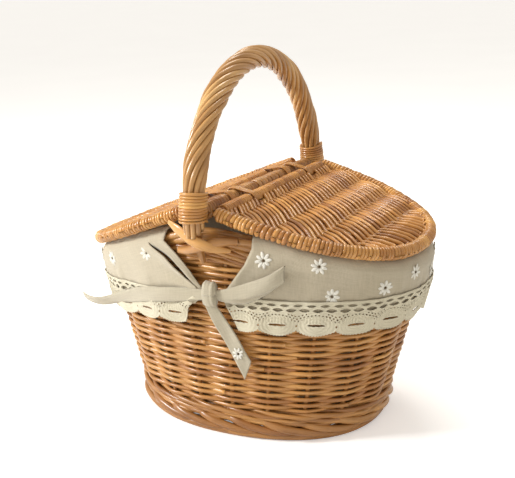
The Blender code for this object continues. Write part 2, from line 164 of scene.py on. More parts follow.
class Rods:
    """Many rods in one mesh. Each has its own length coordinate, and its own tone from 0 to 1."""

    def __init__(self):
        self.verts, self.faces, self.uv, self.tone, self.count = [], [], [], [], 0

    def add(self, points, radius, ref, sides=8, thick=1.0, tone=0.5, closed=False, taper=0.0, ends=True):
        """thick scales the section along ref; taper is the length over which each end narrows."""
        p = np.asarray(points, float)
        n = len(p)
        ref = np.broadcast_to(np.asarray(ref, float), p.shape)
        if closed:
            t = np.roll(p, -1, 0) - np.roll(p, 1, 0)
        else:
            t = np.gradient(p, axis=0)
        t = unit(t)
        side = unit(np.cross(t, ref))
        up = np.cross(side, t)
        r = np.broadcast_to(np.asarray(radius, float), (n,)).copy()
        step = np.linalg.norm(np.diff(p, axis=0), axis=1)
        u = np.concatenate([[0], np.cumsum(step)])
        if taper:
            near = np.minimum(u, u[-1] - u)
            r *= 0.35 + 0.65 * np.clip(near / taper, 0, 1) ** 0.6
        a = np.arange(sides) / sides * 2 * PI
        ring = (
            p[:, None]
            + (r[:, None] * np.cos(a))[..., None] * side[:, None]
            + (r[:, None] * thick * np.sin(a))[..., None] * up[:, None]
        )
        base = self.count
        self.verts.append(ring.reshape(-1, 3))
        uv = np.stack(np.broadcast_arrays(u[:, None], (a / (2 * PI))[None, :]), -1)
        self.uv.append(uv.reshape(-1, 2) + [rng(base + 1).uniform(0, 3), 0])
        self.tone.append(np.full(n * sides, tone))
        rows = n if closed else n - 1
        i = np.arange(rows)[:, None]
        j = np.arange(sides)[None, :]
        k = (j + 1) % sides
        i2 = (i + 1) % n
        quads = np.stack(np.broadcast_arrays(i * sides + j, i * sides + k, i2 * sides + k, i2 * sides + j), -1).reshape(-1, 4)
        self.faces.append(quads[:, ::-1] + base)
        self.count += n * sides
        if not closed and ends:
            for at, row, flip in ((p[0] - t[0] * r[0] * 0.35, 0, False), (p[-1] + t[-1] * r[-1] * 0.35, n - 1, True)):
                # a small cap: a ring of half size and two rows of quads closed on a middle point
                self.verts.append(at[None])
                self.uv.append(np.array([[u[row], 0.5]]))
                self.tone.append(np.array([tone]))
                middle = self.count
                self.count += 1
                ringi = base + row * sides + np.arange(sides)
                nxt = np.roll(ringi, -1)
                tri = np.stack([ringi, nxt, np.full(sides, middle), np.full(sides, middle)], -1)
                self.faces.append(tri[:, ::-1] if not flip else tri)
        return self

    def build(self, name):
        faces = np.concatenate(self.faces)
        quads = faces[:, 2] != faces[:, 3]
        quads &= faces[:, 0] != faces[:, 1]
        three = faces[~quads]
        if len(three):
            clean = []
            for f in three:
                seen = []
                for v in f:
                    if v not in seen:
                        seen.append(int(v))
                clean.append(seen)
            all_faces = faces[quads].tolist() + clean
            return make_mesh(name, np.concatenate(self.verts), all_faces, np.concatenate(self.uv), floats={"tone": np.concatenate(self.tone)})
        return make_mesh(name, np.concatenate(self.verts), faces, np.concatenate(self.uv), floats={"tone": np.concatenate(self.tone)})


# =============================================================== materials
def nodes_of(name):
    made = bpy.data.materials.new(name)
    made.use_nodes = True
    tree = made.node_tree
    return made, tree, tree.nodes["Principled BSDF"]


def add(tree, kind, **inputs):
    node = tree.nodes.new(kind)
    for key, value in inputs.items():
        if key in ("operation", "blend_type", "data_type", "noise_dimensions", "attribute_name", "feature", "wave_type", "bands_direction", "clamp_factor"):
            setattr(node, key, value)
        else:
            node.inputs[key.replace("_", " ")].default_value = value
    return node


def ramp(tree, source, stops):
    node = tree.nodes.new("ShaderNodeValToRGB")
    while len(node.color_ramp.elements) < len(stops):
        node.color_ramp.elements.new(0.5)
    for element, (at, colour) in zip(node.color_ramp.elements, stops):
        element.position = at
        element.color = (*colour, 1.0) if len(colour) == 3 else colour
    tree.links.new(source, node.inputs["Fac"])
    return node.outputs["Color"]


def mix(tree, a, b, factor, kind="MIX"):
    node = tree.nodes.new("ShaderNodeMix")
    node.data_type = "RGBA"
    node.blend_type = kind
    for socket, value in ((node.inputs[6], a), (node.inputs[7], b)):
        if hasattr(value, "links"):
            tree.links.new(value, socket)
        else:
            socket.default_value = (*value, 1.0)
    if hasattr(factor, "links"):
        tree.links.new(factor, node.inputs[0])
    else:
        node.inputs[0].default_value = factor
    return node.outputs[2]


def willow(name, light, mid, dark, rough=0.42, streak=0.55, coat=0.12, patch=0.45, bump=0.35):
    """Peeled, steamed willow: a tone of its own for each rod, streaks along it, and darker patches."""
    made, tree, shader = nodes_of(name)
    tone = add(tree, "ShaderNodeAttribute", attribute_name="tone")
    base = ramp(tree, tone.outputs["Fac"], [(0.0, dark), (0.45, mid), (1.0, light)])
    uv = add(tree, "ShaderNodeUVMap")
    wide = add(tree, "ShaderNodeMapping", Scale=(35.0, 5.0, 1.0))
    tree.links.new(uv.outputs[0], wide.inputs[0])
    fibre = add(tree, "ShaderNodeTexNoise", Scale=1.0, Detail=4.0, Roughness=0.65)
    tree.links.new(wide.outputs[0], fibre.inputs["Vector"])
    streaks = ramp(tree, fibre.outputs["Fac"], [(0.30, (0.62, 0.55, 0.47)), (0.52, (1.0, 1.0, 1.0)), (0.75, (1.22, 1.20, 1.12))])
    base = mix(tree, base, streaks, streak, "MULTIPLY")
    coords = add(tree, "ShaderNodeTexCoord")
    spots = add(tree, "ShaderNodeTexNoise", Scale=26.0, Detail=3.0, Roughness=0.6)
    tree.links.new(coords.outputs["Object"], spots.inputs["Vector"])
    patches = ramp(tree, spots.outputs["Fac"], [(0.36, (0.66, 0.56, 0.44)), (0.55, (1.0, 1.0, 1.0))])
    base = mix(tree, base, patches, patch, "MULTIPLY")
    knots = add(tree, "ShaderNodeTexNoise", Scale=1.0, Detail=1.0)
    far = add(tree, "ShaderNodeMapping", Scale=(9.0, 1.5, 1.0), Location=(4.0, 7.0, 0.0))
    tree.links.new(uv.outputs[0], far.inputs[0])
    tree.links.new(far.outputs[0], knots.inputs["Vector"])
    bands = ramp(tree, knots.outputs["Fac"], [(0.28, (0.70, 0.60, 0.50)), (0.40, (1.0, 1.0, 1.0)), (0.70, (1.10, 1.08, 1.0))])
    base = mix(tree, base, bands, 0.6, "MULTIPLY")
    tree.links.new(base, shader.inputs["Base Color"])
    shine = tree.nodes.new("ShaderNodeMapRange")
    shine.inputs["To Min"].default_value = rough - 0.10
    shine.inputs["To Max"].default_value = rough + 0.12
    tree.links.new(fibre.outputs["Fac"], shine.inputs["Value"])
    tree.links.new(shine.outputs[0], shader.inputs["Roughness"])
    lift = add(tree, "ShaderNodeBump", Strength=bump, Distance=0.0004)
    tree.links.new(fibre.outputs["Fac"], lift.inputs["Height"])
    tree.links.new(lift.outputs[0], shader.inputs["Normal"])
    shader.inputs["Coat Weight"].default_value = coat
    shader.inputs["Coat Roughness"].default_value = 0.22
    return made


LIGHT, MID, DARK = (0.63, 0.336, 0.102), (0.485, 0.227, 0.062), (0.345, 0.137, 0.035)
M_WEAVER = willow("willow_weaver", LIGHT, MID, DARK, rough=0.33, coat=0.3)
M_THICK = willow("willow_border_rod", (0.58, 0.308, 0.098), (0.435, 0.204, 0.059), (0.30, 0.122, 0.033), rough=0.34, streak=0.7, coat=0.3)
M_SKEIN = willow("willow_skein", (0.72, 0.395, 0.118), (0.55, 0.262, 0.069), (0.37, 0.148, 0.037), rough=0.28, coat=0.35, bump=0.2)
M_STAKE = willow("willow_stake", (0.60, 0.34, 0.125), (0.52, 0.28, 0.095), (0.40, 0.19, 0.06), rough=0.4)
M_HANDLE = willow("willow_handle", (0.71, 0.440, 0.180), (0.56, 0.312, 0.112), (0.39, 0.187, 0.060), rough=0.30, streak=0.6, coat=0.35)
M_LID = willow("willow_lid", (0.71, 0.365, 0.098), (0.56, 0.257, 0.064), (0.38, 0.152, 0.036), rough=0.32, coat=0.3)


def finish_piece(obj, material, body, slot, *replaced):
    obj.data.materials.clear()
    obj.data.materials.append(material)
    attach(obj, body)
    if replaced:
        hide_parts(*replaced)
    return obj


# =============================================================== camera, floor, light
def set_camera():
    az, el, roll = math.radians(28.259), math.radians(15.9345), math.radians(-2.035)
    distance, focal, cx, cy = 0.8799, 954.15, -0.0034, -0.0133
    back = Vector((math.sin(az) * math.cos(el), -math.cos(az) * math.cos(el), math.sin(el)))
    right = Vector((math.cos(az), math.sin(az), 0))
    up = back.cross(right)
    r = right * math.cos(roll) + up * math.sin(roll)
    u = -right * math.sin(roll) + up * math.cos(roll)
    at = Vector((0, 0, 0.17)) + right * cx + up * cy + back * distance
    data = bpy.data.cameras.new("camera")
    data.sensor_width = 36.0
    data.lens = focal * 36.0 / 515.0
    data.clip_start = 0.01
    camera = bpy.data.objects.new("camera", data)
    bpy.context.scene.collection.objects.link(camera)
    camera.matrix_world = Matrix(((r.x, u.x, back.x, at.x), (r.y, u.y, back.y, at.y), (r.z, u.z, back.z, at.z), (0, 0, 0, 1)))
    bpy.context.scene.camera = camera


def set_stage():
    floor = make_mesh("floor", [(-60, -60, 0), (60, -60, 0), (60, 60, 0), (-60, 60, 0)], [[0, 1, 2, 3]], smooth=False)
    made, tree, shader = nodes_of("floor_paper")
    coords = add(tree, "ShaderNodeTexCoord")
    grain = add(tree, "ShaderNodeTexNoise", Scale=3.0, Detail=2.0)
    tree.links.new(coords.outputs["Object"], grain.inputs["Vector"])
    tone = ramp(tree, grain.outputs["Fac"], [(0.3, (0.92, 0.92, 0.91)), (0.7, (0.95, 0.95, 0.94))])
    tree.links.new(tone, shader.inputs["Base Color"])
    shader.inputs["Roughness"].default_value = 0.9
    shader.inputs["Specular IOR Level"].default_value = 0.1
    seen = tree.nodes.new("ShaderNodeLightPath")
    glow = tree.nodes.new("ShaderNodeMath")
    glow.operation = "MULTIPLY"
    glow.inputs[1].default_value = 0.36
    tree.links.new(seen.outputs["Is Camera Ray"], glow.inputs[0])
    shader.inputs["Emission Color"].default_value = (1.0, 1.0, 1.0, 1)
    tree.links.new(glow.outputs[0], shader.inputs["Emission Strength"])
    floor.data.materials.append(made)
    world = bpy.data.worlds.new("studio")
    bpy.context.scene.world = world
    world.use_nodes = True
    world.node_tree.nodes["Background"].inputs[0].default_value = (1.0, 0.945, 0.865, 1)
    world.node_tree.nodes["Background"].inputs[1].default_value = 0.63
    # behind the floor's edge, the camera sees the same pale tone as the floor
    tree = world.node_tree
    seen = tree.nodes.new("ShaderNodeLightPath")
    plain = tree.nodes.new("ShaderNodeBackground")
    plain.inputs[0].default_value = (0.955, 0.925, 0.88, 1)
    both = tree.nodes.new("ShaderNodeMixShader")
    tree.links.new(seen.outputs["Is Camera Ray"], both.inputs[0])
    tree.links.new(tree.nodes["Background"].outputs[0], both.inputs[1])
    tree.links.new(plain.outputs[0], both.inputs[2])
    tree.links.new(both.outputs[0], tree.nodes["World Output"].inputs["Surface"])
    for name, place, aim, power, size, colour in (
        ("key", (-1.15, -0.85, 0.80), (0, 0, 0.14), 22.5, 0.30, (0.985, 0.99, 1.0)),
        ("fill", (1.2, -1.3, 0.8), (0, 0, 0.12), 1.2, 1.2, (1.0, 0.96, 0.89)),
        ("top", (-0.2, 0.5, 1.6), (0, 0, 0.1), 11.0, 0.6, (1.0, 0.98, 0.93)),
    ):
        data = bpy.data.lights.new(name, "AREA")
        data.energy, data.size, data.color = power, size, colour
        lamp = bpy.data.objects.new(name, data)
        bpy.context.scene.collection.objects.link(lamp)
        lamp.location = place
        lamp.rotation_euler = (Vector(aim) - Vector(place)).to_track_quat("-Z", "Y").to_euler()


set_camera()
set_stage()
bpy.context.scene.view_settings.view_transform = "Standard"


# =============================================================== the woven wall
def zigzag(phase, sharp=0.93):
    """A wave between -1 and 1 with nearly straight flanks, as a stiff rod takes between two stakes."""
    return np.arcsin(sharp * np.cos(phase)) / math.asin(sharp)


WEAVE_AMP, WEAVER_R, ROW = 0.0031, 0.00182, 0.00306
FIRST_ROW, ROWS = 0.0285, 53


def wall_weave():
    rods = Rods()
    r = rng(11)
    per = 9
    for row in range(ROWS):
        z0 = FIRST_ROW + ROW * row
        shift = r.uniform(0, STAKES)
        s = np.arange(0, STAKES * per + 1) / per + shift
        t = angle_at(s)
        keep = z0 < rim_top(t) - 2 * RIM_R + 0.0025
        wave = zigzag(PI * (s + row))
        low = 0.0008 * wave + 0.0003 * np.sin(2 * PI * s / STAKES * 3 + row) + r.normal(0, 0.00008, len(s))
        z = z0 + low
        radius = WEAVER_R * (1 + 0.05 * r.standard_normal()) * (1 + 0.17 * (1 - wave) / 2) * (1 + 0.06 * np.sin(2 * PI * s / STAKES * 2 + r.uniform(0, 6)))
        amp = WEAVE_AMP * (1 + 0.05 * r.standard_normal())
        p = wall(t, z, -WALL / 2) + wall_normal(t, z) * (amp * wave)[:, None]
        n = wall_normal(t, z)
        # one row is two or three rods, each ending behind a stake
        cuts = sorted(set([0, len(s) - 1] + [int(c) * per for c in r.choice(np.arange(3, STAKES - 3), 2, replace=False)]))
        for first, last in zip(cuts, cuts[1:]):
            span = np.arange(first, last + 1)
            tone = float(np.clip(0.55 + 0.22 * r.standard_normal(), 0.05, 0.98))
            run = []
            for k in span:
                if keep[k]:
                    run.append(k)
                if run and (not keep[k] or k == span[-1]):
                    if len(run) > 5:
                        rods.add(p[run], radius[run], n[run], sides=8, thick=0.9, tone=tone)
                    run = []
    return finish_piece(rods.build("wall_weavers"), M_WEAVER, "basket", "willow_weave", "side_weave")


def waling(name, heights, radius, strands, body, slot, replaced, follow=None, seed=3):
    """Strands that pass in front of two stakes and behind one, each in turn."""
    rods = Rods()
    r = rng(seed)
    per = 8
    for row, z0 in enumerate(heights):
        for j in range(strands):
            s = np.arange(-4, STAKES * per + 5) / per + STAKES / 2 + row * 0.4
            t = angle_at(s)
            phase = 2 * PI * ((s - j - row * 0.37) / strands)
            front = np.clip(0.45 + 1.25 * np.cos(phase), -1, 1)
            front = np.convolve(np.pad(front, 2, mode="edge"), np.ones(5) / 5, "valid")
            ends = np.clip(np.minimum(np.arange(len(s)), np.arange(len(s))[::-1]) / 5.0, 0, 1)
            off = (radius + 0.0019) * (front * ends - (1 - ends))
            base_z = z0 if follow is None else follow(t) - z0
            z = base_z - 0.0016 * np.sin(phase) + r.normal(0, 0.0001, len(s))
            p = wall(t, z, -WALL / 2) + wall_normal(t, z) * off[:, None]
            rods.add(p, radius * (1 + 0.05 * r.standard_normal()), wall_normal(t, z), sides=8, tone=float(np.clip(0.5 + 0.26 * r.standard_normal(), 0, 1)), taper=0.02)
    return finish_piece(rods.build(name), M_THICK, body, slot, replaced)


def stakes():
    for k in range(1, STAKES + 1):
        node = frame["nodes"][f"stake_{k:02d}"]
        node.data.materials.clear()
        node.data.materials.append(M_STAKE)
        for face in node.data.polygons:
            face.use_smooth = True


def foot_border():
    rods = Rods()
    r = rng(21)
    for ring, (off, z, radius) in enumerate(((-0.0022, 0.0036, 0.0034), (-0.0078, 0.0034, 0.0033))):
        s = np.arange(0, STAKES * 8) / 8.0
        t = angle_at(s)
        zz = z + 0.0002 * np.sin(2 * PI * s / STAKES * 5 + ring)
        rods.add(wall(t, zz, off), radius, wall_normal(t, zz), tone=0.45 + 0.1 * ring, closed=True, sides=10)
    for k in range(STAKES):
        u = np.linspace(0, 1, 26)
        s = k - 0.45 + 2.7 * u
        t = angle_at(s)
        z = np.interp(u, [0, 0.16, 0.36, 0.62, 0.82, 1], [0.0185, 0.0165, 0.0122, 0.0078, 0.0066, 0.0075])
        off = np.interp(u, [0, 0.12, 0.28, 0.60, 0.80, 1], [-0.0075, -0.0030, 0.0012, 0.0008, -0.0028, -0.0085])
        z = np.convolve(np.pad(z, 2, mode="edge"), np.ones(5) / 5, "valid")
        off = np.convolve(np.pad(off, 2, mode="edge"), np.ones(5) / 5, "valid")
        radius = 0.0033 * (1 + 0.07 * r.standard_normal()) * np.interp(u, [0, 0.2, 0.8, 1], [0.85, 1.0, 0.95, 0.6])
        z += r.normal(0, 0.0004)
        rods.add(wall(t, z, off), radius, wall_normal(t, z), sides=10, tone=float(np.clip(0.5 + 0.25 * r.standard_normal(), 0, 1)))
    return finish_piece(rods.build("foot_plait"), M_THICK, "basket", "willow_border", "foot_border")


def base_weave():
    rods = Rods()
    r = rng(31)
    a0, b0 = 0.1035, 0.0775
    sticks = 22
    for ring in range(21):
        k = (ring + 1.2) / 21.6
        t = np.linspace(0, 2 * PI, sticks * 8, endpoint=False)
        p = 2 / PLAN_POWER
        x, y = a0 * k * spow(np.cos(t), p), b0 * k * spow(np.sin(t), p)
        z = 0.0090 + 0.0023 * zigzag(sticks / 2 * t + PI * ring)
        rods.add(np.stack([x, y, z], -1), 0.0019, (0, 0, 1), sides=6, tone=float(np.clip(0.4 + 0.2 * r.standard_normal(), 0, 1)), closed=True)
    for k in range(sticks):
        t = 2 * PI * (k + 0.0) / sticks
        p = 2 / PLAN_POWER
        far = np.array([a0 * spow(np.cos(t), p), b0 * spow(np.sin(t), p), 0.009])
        near = far * [0.06, 0.06, 1]
        line = near + (far - near) * np.linspace(0, 1, 6)[:, None]
        rods.add(line, 0.0019, (0, 0, 1), sides=6, tone=0.35)
    return finish_piece(rods.build("base_weave"), M_WEAVER, "basket", "willow_weave", "base_panel")


def rim_border():
    """The rim: thick rods laid round it in a long lay, rising at the handle as the saddle does."""
    rods = Rods()
    r = rng(41)
    s = np.arange(0, STAKES * 9) / 9.0
    t = angle_at(s)
    centre = wall(t, rim_top(t) - RIM_R, -WALL / 2)
    n = wall_normal(t, rim_top(t) - RIM_R)
    n[..., 2] = 0
    n = unit(n)
    for j in range(4):
        turn = 2 * PI * (s / 6.6666667) + j * PI / 2
        reach = 0.0036
        p = centre + n * (reach * np.cos(turn))[:, None] + np.array([0, 0, 1.0]) * (reach * np.sin(turn))[:, None]
        radial = n * np.cos(turn)[:, None] + np.array([0, 0, 1.0]) * np.sin(turn)[:, None]
        rods.add(p, 0.0036 * (1 + 0.04 * r.standard_normal()), radial, sides=10, tone=float(0.35 + 0.5 * r.random()), closed=True)
    rods.add(centre, 0.0022, n, sides=6, tone=0.2, closed=True)
    return finish_piece(rods.build("rim_rods"), M_THICK, "basket", "willow_border", "rim_border")


wall_weave()
waling("lower_waling", (0.0170, 0.0206, 0.0242), 0.00205, 3, "basket", "willow_border", "lower_wale")
waling("upper_waling", (0.0168, 0.0210, 0.0252), 0.00200, 3, "basket", "willow_border", "upper_wale", follow=rim_top, seed=5)
stakes()
foot_border()
base_weave()
rim_border()


# =============================================================== handle
def bow_point(share):
    turn = PI * np.asarray(share, float)
    p = 2 / BOW_POWER
    return np.stack([np.zeros_like(turn), -BOW_Y * spow(np.cos(turn), p), BOW_Z0 + (BOW_Z1 - BOW_Z0) * np.abs(np.sin(turn)) ** p], -1)


def handle_line(count=150):
    """The bow's centreline with the legs' straight ends below the springing."""
    arch = bow_point(np.linspace(0.012, 0.988, count))
    first = np.array([[0, -0.1141, 0.1905], [0, -0.1149, 0.1945]])
    last = first[::-1] * [1, -1, 1]
    line = np.concatenate([first, arch, last])
    run = np.concatenate([[0], np.cumsum(np.linalg.norm(np.diff(line, axis=0), axis=1))])
    even = np.linspace(0, run[-1], count)
    return np.stack([np.interp(even, run, line[:, k]) for k in range(3)], -1), even


def handle():
    line, run = handle_line()
    tangent = unit(np.gradient(line, axis=0))
    side = np.broadcast_to(np.array([1.0, 0, 0]), line.shape)
    out = np.cross(tangent, side)
    rods = Rods()
    r = rng(51)
    strands = 10
    length = run[-1]
    # the strands run straight through the bindings and twist between them
    ease = np.clip((run - 0.036) / 0.03, 0, 1) * np.clip((length - 0.036 - run) / 0.03, 0, 1)
    rate = 2 * PI / 0.115 * (0.25 + 0.75 * ease)
    twist = np.concatenate([[0], np.cumsum((rate[1:] + rate[:-1]) / 2 * np.diff(run))])
    for j in range(strands):
        turn = HANDLE_SENSE * twist + 2 * PI * j / strands
        pinch = np.clip((np.minimum(run, length - run) - 0.036) / 0.012, 0, 1)
        reach = (0.00695 + 0.00085 * pinch) + 0.0002 * r.standard_normal() + 0.0003 * np.sin(run * 40 + j) * pinch
        radial = side * np.cos(turn)[:, None] + out * np.sin(turn)[:, None]
        p = line + radial * np.reshape(reach, (-1, 1))
        p = p + tangent * 0.0
        cut = int(r.integers(0, 3))
        sel = slice(cut, len(p) - int(r.integers(0, 3)))
        rods.add(p[sel], (0.00225 + 0.00025 * pinch[sel]) * (1 + 0.06 * r.standard_normal()), radial[sel], sides=9, tone=float(np.clip(0.55 + 0.2 * r.standard_normal(), 0.1, 1)))
    finish_piece(rods.build("handle_strands"), M_HANDLE, "basket", "willow_border", "handle_twist")
    core = frame["nodes"]["handle_core"]
    core.data.materials.clear()
    core.data.materials.append(M_HANDLE)


HANDLE_SENSE = 1.0
handle()


def leg_centre(z, side):
    share = np.maximum(0, (z - BOW_Z0) / (BOW_Z1 - BOW_Z0))
    y = BOW_Y * (1 - share ** BOW_POWER) ** (1 / BOW_POWER)
    return np.stack([np.zeros_like(z), side * y, z], -1)


def binding(side, word):
    rods = Rods()
    turns, per = 10, 28
    k = np.arange(turns * per + 1)
    z = 0.2012 + (0.2250 - 0.2012) * k / (turns * per)
    a = 2 * PI * k / per + 0.6
    centre = leg_centre(z, side)
    along = unit(np.gradient(centre, axis=0))
    x = np.array([1.0, 0, 0])
    across = np.cross(along, x)
    radial = x * np.cos(a)[:, None] + across * np.sin(a)[:, None]
    reach = np.interp(z, [0.2012, 0.2250], [0.0112, 0.0105]) + 0.00015 * np.sin(a * 3.3)
    r = rng(55 if side < 0 else 56)
    start = 0
    while start < len(k) - 1:
        stop = min(len(k) - 1, start + int(r.integers(1, 3)) * per)
        span = slice(start, stop + 1)
        rods.add((centre + radial * reach[:, None])[span], 0.00128 * (1 + 0.07 * r.standard_normal()), radial[span], sides=8, thick=0.95, tone=float(np.clip(0.62 + 0.22 * r.standard_normal(), 0.05, 1)))
        start = stop
    finish_piece(rods.build(word + "_binding_skein"), M_SKEIN, "basket", "willow_skein", word + "_binding")


binding(-1, "front")
binding(1, "back")


# =============================================================== hinge bar and loops
def lashings(side, word):
    """The split rod laid across the leg's foot, and the rod that turns from it into the rim."""
    turn = np.array([-side, side, 1.0])
    for name, keys, radius, thick, tone, seed in (
        (
            "over",
            [(-0.0270, 0.1120, 0.1985), (-0.0150, 0.1172, 0.1940), (-0.0030, 0.1195, 0.1885), (0.0080, 0.1180, 0.1832), (0.0180, 0.1118, 0.1790), (0.0262, 0.1030, 0.1760)],
            [0.0022, 0.0044, 0.0050, 0.0047, 0.0036, 0.0016], 0.36, 0.72, 1,
        ),
        (
            "under",
            [(-0.0230, 0.1040, 0.1720), (-0.0110, 0.1105, 0.1745), (0.0020, 0.1140, 0.1790), (0.0130, 0.1125, 0.1835), (0.0230, 0.1068, 0.1850), (0.0320, 0.1010, 0.1840)],
            [0.0028, 0.0036, 0.0040, 0.0042, 0.0038, 0.0026], 0.75, 0.5, 2,
        ),
    ):
        rods = Rods()
        keys = np.array(keys)
        at = np.linspace(0, len(keys) - 1, 44)
        line = np.stack([np.interp(at, np.arange(len(keys)), keys[:, k]) for k in range(3)], -1)
        for k in range(3):
            line[:, k] = np.convolve(np.pad(line[:, k], 4, mode="reflect", reflect_type="odd"), np.ones(9) / 9, "valid")
        wide = np.interp(at, np.arange(len(keys)), radius)
        out = unit(np.stack([line[:, 0] * 3.0, line[:, 1], 0 * line[:, 0] + 0.01], -1))
        rods.add(line * turn, wide, out * turn, sides=14, thick=thick, tone=tone)
        finish_piece(rods.build(f"{word}_lashing_{name}_rod"), M_SKEIN if name == "over" else M_THICK, "basket", "willow_skein", f"{word}_lashing_{name}")


lashings(-1, "front")
lashings(1, "back")


def hinge_bar():
    rods = Rods()
    r = rng(61)
    half = 0.1022
    y = np.linspace(-half, half, 40)
    rods.add(np.stack([0 * y, y, 0 * y + HINGE_Z], -1), 0.0058, (0, 0, 1), sides=12, tone=0.35)

    def wrap(y0, y1, pitch, width, thick, reach, tone):
        turns = (y1 - y0) / pitch
        k = np.arange(int(turns * 18) + 1) / 18.0
        a = 2 * PI * k
        yy = y0 + pitch * (k + 0.10 * np.sin(k * 2.1) + 0.06 * np.sin(k * 5.3))
        radial = np.stack([np.cos(a), 0 * a, np.sin(a)], -1)
        line = np.stack([0 * a, yy, 0 * a + HINGE_Z], -1) + radial * (reach + 0.00025 * np.sin(k * 1.3))[:, None]
        start = 0
        while start < len(line) - 9:
            stop = min(len(line) - 1, start + int(r.integers(1, 5)) * 18)
            t_ = float(np.clip(tone + 0.17 * r.standard_normal(), 0.05, 1))
            rods.add(line[start:stop + 1], width * (1 + 0.08 * r.standard_normal()), radial[start:stop + 1], sides=8, thick=thick / width, tone=t_)
            start = stop

    wrap(-0.1010, -0.0130, 0.0037, 0.00160, 0.0019, 0.0058, 0.42)
    wrap(-0.0085, 0.0290, 0.0066, 0.0031, 0.0009, 0.0064, 0.70)
    wrap(0.0320, 0.1010, 0.0026, 0.0013, 0.0010, 0.0060, 0.50)
    finish_piece(rods.build("hinge_bar_wraps"), M_THICK, "basket", "willow_skein", "hinge_bar")


def belt(big, small, gap, sense, count=44):
    """A belt round the bar and a lid's rod, as points in the plane across the hinge."""
    lean = math.acos((big - small) / gap)
    one = [(big * math.cos(t), big * math.sin(t)) for t in np.linspace(lean, 2 * PI - lean, 16)]
    two = [(gap + small * math.cos(t), small * math.sin(t)) for t in np.linspace(-lean, lean, 12)]
    points = np.array(one + two)
    points = np.concatenate([points, points[:1]])
    run = np.concatenate([[0], np.cumsum(np.linalg.norm(np.diff(points, axis=0), axis=1))])
    even = np.linspace(0, run[-1], count, endpoint=False)
    points = np.stack([np.interp(even, run, points[:, k]) for k in range(2)], -1)
    return points * [sense, 1]


def hinge_loops():
    for word, sense in (("right", 1), ("left", -1)):
        for number, y0 in enumerate(LOOPS[word], 1):
            rods = Rods()
            for turn in range(3):
                flat = belt(BAR_R + 0.0012, ROD_R + 0.0010, HINGE_X, sense)
                y = y0 + (turn - 1) * 0.0026
                line = np.stack([flat[:, 0], np.full(len(flat), y), flat[:, 1] + HINGE_Z], -1)
                middle = np.array([sense * HINGE_X / 2, y, HINGE_Z])
                rods.add(line, 0.00125, unit(line - middle), sides=8, thick=0.6, tone=0.35 + 0.15 * turn, closed=True)
            finish_piece(rods.build(f"{word}_hinge_skein_{number}"), M_SKEIN, "basket", "willow_skein", f"{word}_hinge_loop_{number}")


hinge_bar()
hinge_loops()


# =============================================================== lids
def lid_frame(word):
    """Origin, and the directions out along the lid, across it and up from it, at rest."""
    sense = 1 if word == "right" else -1
    slope = math.atan2(LID_DROP[word], LID_REACH)
    out = np.array([sense * math.cos(slope), 0, -math.sin(slope)])
    across = np.array([0, float(sense), 0])
    up = np.cross(out, across)
    return np.array([sense * HINGE_X, 0, HINGE_Z]), out, across, up, math.hypot(LID_DROP[word], LID_REACH)


def lid_outline(length, count, inset=0.0):
    t = np.linspace(-PI / 2, PI / 2, count)
    p = 2 / LID_POWER
    return np.stack([(length - inset) * np.abs(np.cos(t)) ** p, (LID_HALF - inset) * spow(np.sin(t), p)], -1)


def resample(points, step):
    run = np.concatenate([[0], np.cumsum(np.linalg.norm(np.diff(points, axis=0), axis=1))])
    even = np.linspace(0, run[-1], max(3, int(run[-1] / step) + 1))
    return np.stack([np.interp(even, run, points[:, k]) for k in range(points.shape[1])], -1), even


